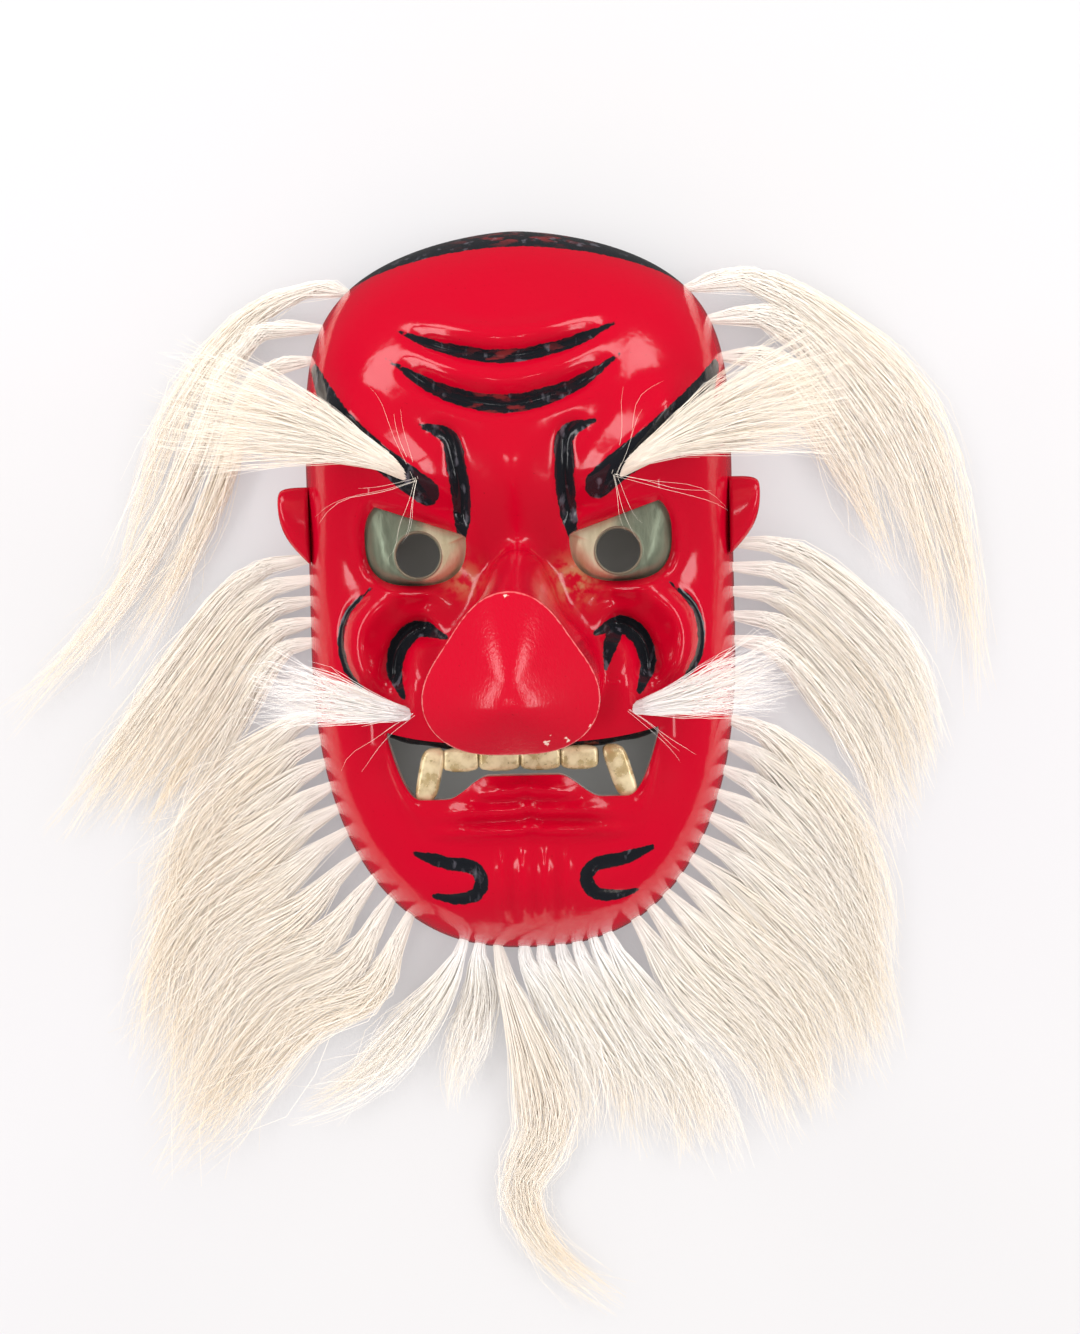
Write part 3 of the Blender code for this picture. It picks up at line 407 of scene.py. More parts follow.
class Graph:
    """Small helpers for wiring one Principled material."""

    def __init__(self, name, colour=(0.8, 0.8, 0.8), roughness=0.5, metallic=0.0):
        self.material = bpy.data.materials.new(name)
        self.material.use_nodes = True
        self.tree = self.material.node_tree
        self.shader = self.tree.nodes["Principled BSDF"]
        self.set("Base Color", colour)
        self.set("Roughness", roughness)
        self.set("Metallic", metallic)

    def plug(self, socket, value):
        """Links a socket to another one, or gives it a plain value. A plain colour is opaque."""
        if isinstance(value, bpy.types.NodeSocket):
            self.tree.links.new(value, socket)
        else:
            socket.default_value = (*value, 1.0) if socket.type == "RGBA" else value

    def set(self, name, value):
        """Links or sets one socket of the shader."""
        self.plug(self.shader.inputs[name], value)

    def attribute(self, name, output="Fac"):
        """A value or colour that the mesh holds at its points."""
        node = self.tree.nodes.new("ShaderNodeAttribute")
        node.attribute_name = name
        return node.outputs[output]

    def noise(self, scale, detail=3.0, stretch=(1, 1, 1), roughness=0.5):
        """Noise in object space, scale in features per metre, squeezed along the axes by stretch."""
        where = self.tree.nodes.new("ShaderNodeTexCoord")
        squeeze = self.tree.nodes.new("ShaderNodeMapping")
        squeeze.inputs["Scale"].default_value = stretch
        self.tree.links.new(where.outputs["Object"], squeeze.inputs["Vector"])
        node = self.tree.nodes.new("ShaderNodeTexNoise")
        for name, number in (("Scale", scale), ("Detail", detail), ("Roughness", roughness)):
            node.inputs[name].default_value = number
        self.tree.links.new(squeeze.outputs["Vector"], node.inputs["Vector"])
        return node.outputs["Fac"]

    def math(self, operation, first, second):
        """Sum, product or another operation on two values."""
        node = self.tree.nodes.new("ShaderNodeMath")
        node.operation = operation
        self.plug(node.inputs[0], first)
        self.plug(node.inputs[1], second)
        return node.outputs[0]

    def spread(self, name, noise, size):
        """A mesh value made ragged by adding a noise times a size."""
        return self.math("ADD", self.attribute(name), self.math("MULTIPLY", noise, size))

    def step(self, value, low, high, out_low=0.0, out_high=1.0):
        """Smooth step of a value from low to high."""
        node = self.tree.nodes.new("ShaderNodeMapRange")
        node.interpolation_type = "SMOOTHSTEP"
        self.plug(node.inputs["Value"], value)
        numbers = {"From Min": low, "From Max": high, "To Min": out_low, "To Max": out_high}
        for name, number in numbers.items():
            node.inputs[name].default_value = number
        return node.outputs["Result"]

    def mix(self, share, first, second):
        """A colour between two, by the share of the second. Sockets 6 and 7 take colours and output 2 gives
        one."""
        node = self.tree.nodes.new("ShaderNodeMix")
        node.data_type = "RGBA"
        self.plug(node.inputs["Factor"], share)
        self.plug(node.inputs[6], first)
        self.plug(node.inputs[7], second)
        return node.outputs[2]

    def relief(self, height, strength, distance):
        """Fine relief in the shading alone, its depth in metres."""
        node = self.tree.nodes.new("ShaderNodeBump")
        node.inputs["Strength"].default_value = strength
        node.inputs["Distance"].default_value = distance
        self.plug(node.inputs["Height"], height)
        self.set("Normal", node.outputs["Normal"])


BLACK, RED_WORN_BLACK, BLACK_GLINT = (0.010, 0.011, 0.014), (0.17, 0.018, 0.02), (0.16, 0.15, 0.18)
# The first is a painted reflection of the brass eye plates on the lacquer by each inner eye
PAINTED_GOLD_REFLECTION, WORN_EDGE, CHIPPED = (0.46, 0.24, 0.11), (0.66, 0.13, 0.13), (0.72, 0.52, 0.44)


def lacquer_material():
    """Glossy red lacquer with brush grain; black paint inside its marked outline with red wear and painted
    glints of lighter grey; pale wear on the nose tip's edge and chips, and a brown-gold painted reflection of
    the brass eye plates by the inner eyes."""
    g = Graph("red_lacquer_look", (0.6, 0.004, 0.012), 0.25)
    g.set("Coat Weight", 0.05)
    g.set("Coat Roughness", 0.12)
    broad = g.noise(22.0, 2.0)
    grain = g.math("MULTIPLY", g.noise(1700.0, 2.0, (1.0, 0.3, 1.0)), g.attribute("matte"))
    pores = g.noise(1500.0, 2.0)
    red = g.mix(broad, (0.50, 0.0008, 0.018), (0.43, 0.0006, 0.012))
    red = g.mix(g.step(pores, 0.70, 0.78), red, (0.22, 0.002, 0.006))
    # A painted reflection of the brass eye plates: a patchy brown-gold on the lacquer by each inner eye
    gold = g.math("MULTIPLY", g.attribute("gold_reflection"), g.step(g.noise(260.0, 4.0), 0.38, 0.62))
    red = g.mix(gold, red, PAINTED_GOLD_REFLECTION)
    red = g.mix(g.step(g.spread("wear", g.noise(700.0, 4.0), 1.4), 1.65, 1.95), red, WORN_EDGE)
    red = g.mix(g.step(g.spread("chip", g.noise(900.0, 3.0), 3.0), 1.25, 0.95), red, CHIPPED)
    black_share = g.step(g.spread("paint", g.noise(420.0, 3.0), 1.3), 0.85, 0.45)
    worn = g.math("MULTIPLY", g.attribute("worn"), g.step(g.noise(230.0, 5.0, (0.6, 1.5, 1.0)), 0.5, 0.6))
    black = g.mix(worn, BLACK, RED_WORN_BLACK)
    # Painted glints: streaks of lighter grey in the black paint stand for reflections on its gloss
    glint = g.step(g.noise(210.0, 3.0, (1.4, 0.6, 1.0)), 0.58, 0.72)
    black = g.mix(g.math("MULTIPLY", glint, 0.5), black, BLACK_GLINT)
    outside = g.mix(black_share, red, black)
    hidden = g.mix(g.step(g.noise(60.0, 3.0), 0.35, 0.65), (0.60, 0.57, 0.53), (0.52, 0.49, 0.45))
    g.set("Base Color", g.mix(g.attribute("inside"), outside, hidden))
    gloss = g.math("ADD", g.math("MULTIPLY", g.attribute("matte"), 0.06), g.step(broad, 0.3, 0.7, 0.11, 0.16))
    g.set("Roughness", g.math("ADD", gloss, g.math("MULTIPLY", g.attribute("inside"), 0.4)))
    g.set("Specular IOR Level", 0.45)
    g.relief(g.math("ADD", grain, g.math("MULTIPLY", g.noise(160.0, 2.0), 2.0)), 0.22, 0.0004)
    return g.material


def brass_material():
    """Streaky brass sheet: greener on the outer side of the eye and golden on the inner side. The light
    streaks and the bright gold are partly painted highlights.
    """
    g = Graph("eye_brass_look", (0.6, 0.5, 0.25), 0.3, 0.55)
    streaks_and_highlights = g.noise(90.0, 5.0, (3.0, 0.8, 1.0), 0.65)
    green = g.mix(streaks_and_highlights, (0.10, 0.13, 0.09), (0.34, 0.38, 0.27))
    gold = g.mix(streaks_and_highlights, (0.42, 0.33, 0.14), (0.95, 0.90, 0.68))
    # Towards the nose the brass turns golden and lighter, which is partly a painted highlight
    body = g.mix(g.step(g.spread("inner", g.noise(160.0, 3.0), 0.5), 0.55, 0.85), green, gold)
    g.set("Base Color", g.mix(g.attribute("ring"), body, (0.26, 0.23, 0.16)))
    g.set("Roughness", g.step(streaks_and_highlights, 0.3, 0.7, 0.3, 0.5))
    g.relief(g.noise(220.0, 3.0, (2.0, 0.7, 1.0)), 0.5, 0.0006)
    return g.material


def gold_material():
    """Brushed-on gold paint, darker in the joints."""
    g = Graph("tooth_gold_look", (0.75, 0.5, 0.18), 0.3, 0.35)
    patches = g.noise(240.0, 4.0)
    tone = g.mix(g.step(patches, 0.3, 0.65), (0.52, 0.38, 0.17), (0.92, 0.78, 0.49))
    g.set("Base Color", g.mix(g.step(g.attribute("joint"), 0.0, 1.0), tone, (0.10, 0.05, 0.015)))
    g.set("Roughness", g.step(patches, 0.35, 0.65, 0.22, 0.4))
    g.relief(g.noise(500.0, 3.0), 0.25, 0.0004)
    return g.material


def gum_material():
    """Black paint of the gum, with a little of the red showing through it."""
    g = Graph("gum_black_look", (0.012, 0.012, 0.014), 0.22)
    red_share = g.step(g.noise(260.0, 4.0), 0.56, 0.66)
    g.set("Base Color", g.mix(red_share, (0.012, 0.011, 0.013), (0.14, 0.03, 0.02)))
    g.set("Roughness", g.step(g.noise(200.0, 2.0), 0.3, 0.7, 0.15, 0.35))
    return g.material


def hair_material():
    """Pale natural hair: its colour along each strand comes from the mesh."""
    g = Graph("pale_hair_look", (0.8, 0.72, 0.6), 0.45)
    g.set("Base Color", g.attribute("tone", "Color"))
    g.set("Specular IOR Level", 0.3)
    g.set("Sheen Weight", 0.4)
    g.set("Sheen Roughness", 0.4)
    return g.material


def stroke(x, y, points, half_widths):
    """Distance outside a painted stroke: distance to its middle curve less a half width that varies along
    it."""
    distance, along = near_curve(x, y, smooth_curve(points))
    shares = np.linspace(0.0, 1.0, len(half_widths))
    return distance - np.interp(along, shares, half_widths)


NOSTRIL_STROKE = [(31, -14), (28.5, -20), (27, -27)]
BROW_STROKE_RIGHT = [(26, 31), (32, 36), (46, 46), (58, 58), (66, 72)]
BROW_STROKE_LEFT = [(28, 30), (36, 36), (46, 44.5), (57, 57), (66, 74)]
CROWN_LINE, CROWN_BEND, CROWN_HALF = 112.0, 0.0032, 58.0


def paint_distance(x, y):
    """Distance outside the nearest painted mark, in millimetres. The grooves' marks run a little past
    them."""
    right, left = x > 0, x <= 0
    side = np.abs(x)
    x_lean = x + lean(y)
    side_lean = np.abs(x_lean)
    marks = [
        stroke(x_lean, y, [(-36, 84), *UPPER_GROOVE, (36, 83.5)], (0.0, 1.5, 2.1, 2.3, 2.1, 1.8, 0.3)),
        stroke(x_lean, y, [(-38, 74), *LOWER_GROOVE, (36, 72.5)], (0.0, 1.8, 2.6, 3.0, 2.7, 1.9, 0.3)),
        stroke(side_lean, y, [(28, 51), *FROWN_GROOVE[1:], (18, 14.0)], (0.4, 2.2, 3.0, 3.1, 3.0, 2.6, 0.8)),
        stroke(side, y, [(47, 1.5), *CHEEK_GROOVE[1:-1], (49, -34)], (0.2, 1.1, 1.3, 1.2, 0.3)),
        stroke(side, y, [(24, -15.5), *NOSTRIL_GROOVE[1:], (37.5, -34)], (0.8, 2.6, 3.2, 3.0, 2.4, 1.0)),
        stroke(side_lean, y, CHIN_HOOK, (0.9, 2.1, 2.3, 2.2, 2.2, 2.0, 0.9)),
        np.where(right, stroke(x, y, NOSTRIL_STROKE, (2.6, 2.2, 0.5)), FAR),
        np.where(right, stroke(x, y, BROW_STROKE_RIGHT, (4.2, 4.4, 4.8, 4.2, 1.4)), FAR),
        np.where(left, stroke(side, y, BROW_STROKE_LEFT, (4.0, 3.8, 3.6, 3.4, 1.6)), FAR),
        np.maximum(CROWN_LINE - CROWN_BEND * x**2 - y, 1.2 * (side - CROWN_HALF)),
    ]
    return np.minimum.reduce(marks)


# Place and size of each chip near the nose tip's edge
CHIPS = [(9.1, -45.2, 1.9), (10.4, -43.4, 1.3), (14.2, -44.7, 1.7), (20.3, -41.4, 1.6), (-0.6, -7.0, 1.8),
         (6.5, -47.0, 1.2), (17.5, -43.3, 1.1)]

# What the lacquer's mesh values are where nothing is marked
UNMARKED = {"paint": FAR, "chip": FAR, "wear": 0.0, "worn": 0.0, "gold_reflection": 0.0, "matte": 0.0, "inside": 0.0}


def lacquer_values(outer):
    """The lacquer's values over the outer skin: distances outside the black marks and the chips, pale wear
    that falls off from the nose tip's edge, worn places and the eyes' painted gold reflection as hills, and
    the matter nose."""
    x, y, z = outer.reshape(-1, 3).T
    rings, spokes = outer.shape[:2]
    ring = np.arange(rings * spokes) // spokes
    edge_gap = np.full(rings, FAR)
    edge_gap[:DOME_RINGS] = (1 - dome_shares()) * TIP_RADIUS
    edge_gap[DOME_RINGS : DOME_RINGS + len(EDGE_STEPS)] = EDGE_STEPS
    chip = np.minimum.reduce([np.hypot(x - cx, y - cy) - size for cx, cy, size in CHIPS])
    worn = bump(x, y, (3, 70.5), (14, 5)) + bump(x, y, (-4, 56), (13, 5)) + bump(x, y, (4, 118), (18, 4))
    values = {
        "paint": np.where(ring >= FIRST_FACE - 4, paint_distance(x, y), FAR),
        "chip": np.where(z > 150.0, chip, FAR) + 0.9,
        "wear": 1.25 * np.exp(-((edge_gap[ring] / 0.36) ** 2)),
        "worn": np.clip(worn * 1.6, 0, 1),
        # Painted reflection of the brass eye plates by each inner eye, stronger on the right
        "gold_reflection": bump(x, y, (18, 2), (6, 6)) + 0.6 * bump(x, y, (-18, 3), (5, 5)),
        "matte": smooth_step(80.0, 120.0, z),
        "inside": np.zeros(len(z)),
    }
    return {name: np.clip(value, -FAR, FAR) for name, value in values.items()}


def opening_distance(x, y):
    """Distance outside the nearest of the eyes and the mouth."""
    return np.minimum(eye_distance(np.abs(x), y), mouth_distance(np.abs(x), y))


def skin_triangles(outer, value, marked, first_low):
    """The grid's triangles without those inside an opening. Where all three corners are on an outline, the
    triangle's own middle decides."""
    rings, spokes = value.shape
    triangles = grid_triangles(rings, spokes, marked)
    corner_value = np.where(marked, 0.0, value).ravel()[triangles]
    centre = outer.reshape(-1, 3)[triangles].mean(axis=1)
    centre_inside = opening_distance(centre[:, 0], centre[:, 1]) < 0
    low_down = triangles.min(axis=1) >= first_low * spokes
    all_marked = marked.ravel()[triangles].all(axis=1)
    inside = low_down & np.where(all_marked, centre_inside, corner_value.min(axis=1) < -1e-9)
    return triangles[~inside]


def free_edges(triangles, spokes, offset):
    """Directed edges that only one triangle has, those round the openings and along the rim."""
    directed = np.concatenate([triangles[:, [0, 1]], triangles[:, [1, 2]], triangles[:, [2, 0]]])
    keys = directed[:, 0] * offset + directed[:, 1]
    free = directed[~np.isin(keys, directed[:, 1] * offset + directed[:, 0])]
    round_opening = (free.min(axis=1) >= spokes) & (free.max(axis=1) < offset - spokes)
    at_rim = free.min(axis=1) >= offset - spokes
    return free[round_opening | at_rim]


def build_shell(material):
    """The hollow moulding: outer and inner skin of one grid, joined along the rim and round each
    opening."""
    outer, peak, inner, inner_peak = shell_grids()
    eye_value, eye_marked = carve(outer, inner, eye_distance)
    mouth_value, mouth_marked = carve(outer, inner, mouth_distance)
    first_low = FIRST_FACE - 6
    on_face = np.arange(len(outer))[:, None] >= first_low
    value = np.where(on_face, np.minimum(eye_value, mouth_value), FAR)
    marked = (eye_marked | mouth_marked) & on_face
    triangles = skin_triangles(outer, value, marked, first_low)
    rings, spokes = value.shape
    offset = rings * spokes
    edges = free_edges(triangles, spokes, offset)
    walls = np.stack([edges[:, 1], edges[:, 0], edges[:, 0] + offset, edges[:, 1] + offset], axis=1)
    spoke = np.arange(spokes)
    beside = (spoke + 1) % spokes
    cap = np.stack([np.full(spokes, 2 * offset), spoke, beside], axis=1)
    inner_cap = np.stack([np.full(spokes, 2 * offset + 1), offset + beside, offset + spoke], axis=1)
    vertices = np.vstack([outer.reshape(-1, 3), inner.reshape(-1, 3), peak, inner_peak])
    hidden = {**UNMARKED, "matte": 0.6, "inside": 1.0}
    points = {}
    for name, values in lacquer_values(outer).items():
        points[name] = np.concatenate([values, np.full(offset + 2, hidden[name])])
    points["inside"][2 * offset] = 0.0
    points["matte"][2 * offset] = 1.0
    sharp = np.zeros(len(vertices), bool)
    sharp[np.unique(edges)] = True
    sharp[np.unique(edges) + offset] = True
    groups = [triangles, triangles[:, ::-1] + offset, cap, inner_cap, walls]
    return mesh_piece("mask_shell_fine", vertices, groups, material, points, sharp)


def tube_grid(rings, count, first=0, closed_ends=True):
    """Quads between neighbouring closed rings of a grid, and the two end caps."""
    ring, place = np.meshgrid(np.arange(rings - 1), np.arange(count), indexing="ij")
    near, far, beside = first + ring * count, first + (ring + 1) * count, (place + 1) % count
    quads = np.stack([near + place, far + place, far + beside, near + beside], axis=-1)
    groups = [quads.reshape(-1, 4)]
    if closed_ends:
        cap = np.arange(count)[None]
        groups += [first + cap, first + (rings - 1) * count + cap[:, ::-1]]
    return groups


def build_ears(material):
    """Two small pointed lobes on the side wall: rings that shrink outwards, level along their top and
    slanting up underneath, their size the root of one minus nearly the fourth power of the way out."""
    rings, count = 14, 32
    sunk, reach, level = 0.6 * WALL, 7.5, 0.35 * SIDE_HEIGHT
    half_tall, half_thick = 13.0, 5.0
    vertices, groups = [], []
    out = np.linspace(0.0, 1.0, rings)[:, None]
    turn = np.linspace(0.0, 2 * np.pi, count, endpoint=False)[None, :]
    size = (1 - 0.97 * out**4) ** 0.5
    for number, side in enumerate((1, -1)):
        x = side * (WIDTH / 2 - sunk) + side * (reach + sunk) * np.sin(out * np.pi / 2) + 0 * turn
        y = 23.0 + 8.0 * out + half_tall * (1 - 0.62 * out) * size * np.cos(turn)
        z = level + half_thick * size * np.sin(turn)
        vertices.append(np.stack([x, y, z], axis=-1).reshape(-1, 3))
        parts = tube_grid(rings, count, number * rings * count)
        groups += [part[:, ::-1] for part in parts] if side > 0 else parts
    places = np.vstack(vertices)
    points = {name: np.full(len(places), value) for name, value in UNMARKED.items()}
    return mesh_piece("ears", places, groups, material, points)


def eye_outline(turn, grow):
    """The eye opening's outline, grown outwards: an oval in all directions, cut off by the slanting lid."""
    plain = np.stack([np.cos(turn), np.sin(turn)], axis=1)
    oval = np.sign(plain) * np.abs(plain) ** (2 / EYE_POWER)
    x, y = (np.array(EYE_CENTRE) + oval * (np.array(EYE_REACH) + grow)).T
    lid = EYE_LID_START[1] + EYE_LID_SLOPE * (x - EYE_LID_START[0]) + grow * np.hypot(1.0, EYE_LID_SLOPE)
    return np.stack([x, np.minimum(y, lid)], axis=1)


def build_eye_plate(name, side, material):
    """A domed plate behind the eye: its outline shrinks to the pupil's circle while its height rises with
    one minus the power 2.2 of the way back to the outline; the pupil's edge is a small rolled lip."""
    count, thick, domed = 96, 1.2, 22
    turn = np.linspace(0.0, 2 * np.pi, count, endpoint=False)
    rim, inset, edge = (eye_outline(turn, grow) for grow in (1.6, -0.4, 0.4))
    away = np.arctan2(inset[:, 1] - PUPIL[1], inset[:, 0] - PUPIL[0])
    circle = np.stack([np.cos(away), np.sin(away)], axis=1)
    lid = face_height(edge[:, 0], edge[:, 1])
    lid = np.stack([np.roll(lid, k) for k in range(-9, 10)]).mean(axis=0)
    rim_level, inset_level = lid - 2.6, lid - 2.3
    top = lid.mean() - 3.4 + 4.6
    rings = [(rim, rim_level), (inset, inset_level)]
    for share in np.linspace(0.06, 1.0, domed):
        plan = inset * (1 - share) + (np.array(PUPIL) + circle * (PUPIL_RADIUS + 0.9)) * share
        fall = (1 - share) ** 2.2
        rings.append((plan, inset_level * fall + top * (1 - fall)))
    for out, up in ((0.75, 0.35), (0.45, 0.5), (0.15, 0.35), (0.0, 0.0), (0.1, -thick)):
        rings.append((np.array(PUPIL) + circle * (PUPIL_RADIUS + out), np.full(count, top + up)))
    rings += [(plan, level - thick) for plan, level in (rings[10], (inset, inset_level), (rim, rim_level))]
    vertices = np.vstack([np.column_stack([plan[:, 0] * side, plan[:, 1], level]) for plan, level in rings])
    groups = tube_grid(len(rings), count, closed_ends=False)
    last = (len(rings) - 1) * count
    spoke = np.arange(count)
    beside = (spoke + 1) % count
    groups.append(np.stack([last + spoke, spoke, beside, last + beside], axis=1))
    if side > 0:
        groups = [group[:, ::-1] for group in groups]
    on_lip = [1.0 if domed + 1 < k < domed + 6 else 0.0 for k in range(len(rings))]
    # Share towards the nose, where the brass turns golden and lighter, partly a painted highlight
    inner_side = smooth_step(46.0, 18.0, np.abs(vertices[:, 0])) * 0.8
    points = {"ring": np.repeat(on_lip, count), "inner": inner_side}
    return mesh_piece(name, vertices, groups, material, points)


TOOTH_CORNERS, TOOTH_POWER = 24, 3.4
TOOTH_EDGES = [-26.0, -14.4, -1.1, 12.0, 24.0]
# Middle and sideways lean of each fang
FANGS = ((-28.4, -3.6), (28.4, 5.4))


def tooth(centre, half, taper, slant=0.0, rings=12):
    """A rounded tooth: level superellipse rings stacked down from the gum, narrowing a little to a rounded
    end."""
    down = np.linspace(-1.0, 1.0, rings)[:, None]
    turn = np.linspace(0.0, 2 * np.pi, TOOTH_CORNERS, endpoint=False)[None, :]
    round_off = (1 - np.abs(down) ** 5.0 * 0.92) ** 0.35
    narrow = 1.0 - taper * (down + 1) / 2
    cos, sin = (np.sign(wave) * np.abs(wave) ** (2 / TOOTH_POWER) for wave in (np.cos(turn), np.sin(turn)))
    x = centre[0] + half[0] * narrow * round_off * cos + slant * (down + 1) / 2
    z = centre[2] + half[2] * narrow * round_off * sin
    y = centre[1] - half[1] * down + 0 * turn
    return np.stack([x, y, z], axis=-1)


def build_teeth(gold, gum):
    """Four front teeth and two fangs, and the black gum that they hang from."""
    teeth = []
    for left, right in zip(TOOTH_EDGES[:-1], TOOTH_EDGES[1:]):
        teeth.append(tooth(((left + right) / 2, -55.0, 41.6), ((right - left) / 2 + 0.35, 3.9, 2.6), 0.04))
    for centre, slant in FANGS:
        teeth.append(tooth((centre, -59.6, 42.0), (4.0, 8.6, 3.0), 0.08, slant, 20))
    groups, joint, first = [], [], 0
    for made in teeth:
        groups += tube_grid(len(made), TOOTH_CORNERS, first)
        first += len(made) * TOOTH_CORNERS
        across = made[..., 0].ravel()
        reach = np.abs(across - across.mean())
        joint.append(smooth_step(0.86, 1.0, reach / reach.max()) * 0.9)
    places = np.vstack([made.reshape(-1, 3) for made in teeth])
    gold_teeth = mesh_piece("gold_teeth", places, groups, gold, {"joint": np.concatenate(joint)})

    rings, count = 80, 20
    x = np.linspace(-43.5, 43.5, rings)[:, None]
    turn = np.linspace(0.0, 2 * np.pi, count, endpoint=False)[None, :]
    swell = 1.0 + 0.12 * np.cos(2 * np.pi * x / 12.5)
    y = mouth_top(np.abs(x)) - 0.3 + 1.9 * swell * np.cos(turn)
    z = 40.0 - 6.0 * (np.abs(x) / MOUTH_HALF) ** 2.5 + 2.6 * np.sin(turn) + 0 * x
    bar = np.stack([x + 0 * turn, y, z], axis=-1)
    return gold_teeth, mesh_piece("gum_band", bar, [part[:, ::-1] for part in tube_grid(rings, count)], gum)


def wall_point(x, y, height):
    """Where the side wall stands at a height, in the direction of a place outside it, found by halving the
    range, and the way out from it."""
    angle = np.arctan2(y - NOSE_Y, x) + np.array([-0.01, 0.0, 0.01])
    far = rim_radius(angle)
    near = 0.8 * far
    for _ in range(14):
        middle = (near + far) / 2
        high = face_height(middle * np.cos(angle), NOSE_Y + middle * np.sin(angle)) > height
        near, far = np.where(high, middle, near), np.where(high, far, middle)
    plan = np.stack([far * np.cos(angle), NOSE_Y + far * np.sin(angle)], axis=1)
    run = plan[2] - plan[0]
    return plan[1], np.array([run[1], -run[0]]) / np.hypot(*run)


def wall_route(places):
    """A lock's path: from inside its hole straight out of the wall, then down to the surface and along
    it."""
    places = np.asarray(places, float)
    start, out = wall_point(*places[0], ROOT_HEIGHT)
    plan = smooth_curve(np.vstack([start - out * 1.5, start + out * 4.0, places[1:]]), 10)
    travelled = np.concatenate([[0.0], np.cumsum(np.hypot(*np.diff(plan, axis=0).T))])
    share = travelled / travelled[-1]
    height = LYING_HEIGHT + (ROOT_HEIGHT - LYING_HEIGHT) * smooth_step(0.45, 0.03, share)
    return np.column_stack([plan, height])


# Colours of the hair at its root, in its middle and at its end
CREAM_TONES = ((0.89, 0.845, 0.79), (0.89, 0.845, 0.78), (0.85, 0.775, 0.67))
BEIGE_TONES = ((0.89, 0.845, 0.78), (0.88, 0.82, 0.74), (0.84, 0.74, 0.60))
BROW_TONES = ((0.84, 0.76, 0.65), (0.89, 0.84, 0.765), (0.88, 0.81, 0.71))
PALE_TONES = ((0.95, 0.935, 0.91), (0.90, 0.87, 0.825), (0.86, 0.79, 0.69))
WHITE_TONES = ((0.97, 0.955, 0.94), (0.975, 0.965, 0.955), (0.97, 0.96, 0.945))
# What a fully warm hair loses of its red, green and blue
WARMTH = np.array([0.05, 0.10, 0.18])
# Half heights along a lock that lies on the surface
FLAT = (1.6, 3, 3.5, 3.5, 2.5, 1.2)


def disc(rng, count):
    """Places spread evenly over a round disc of radius 1."""
    turn, out = rng.uniform(0, 2 * np.pi, count), np.sqrt(rng.uniform(0, 1, count))
    return np.stack([out * np.cos(turn), out * np.sin(turn)], axis=1)


def unit(arrows):
    """Arrows of length 1 in the same directions."""
    return arrows / np.maximum(np.linalg.norm(arrows, axis=-1), 1e-6)[..., None]


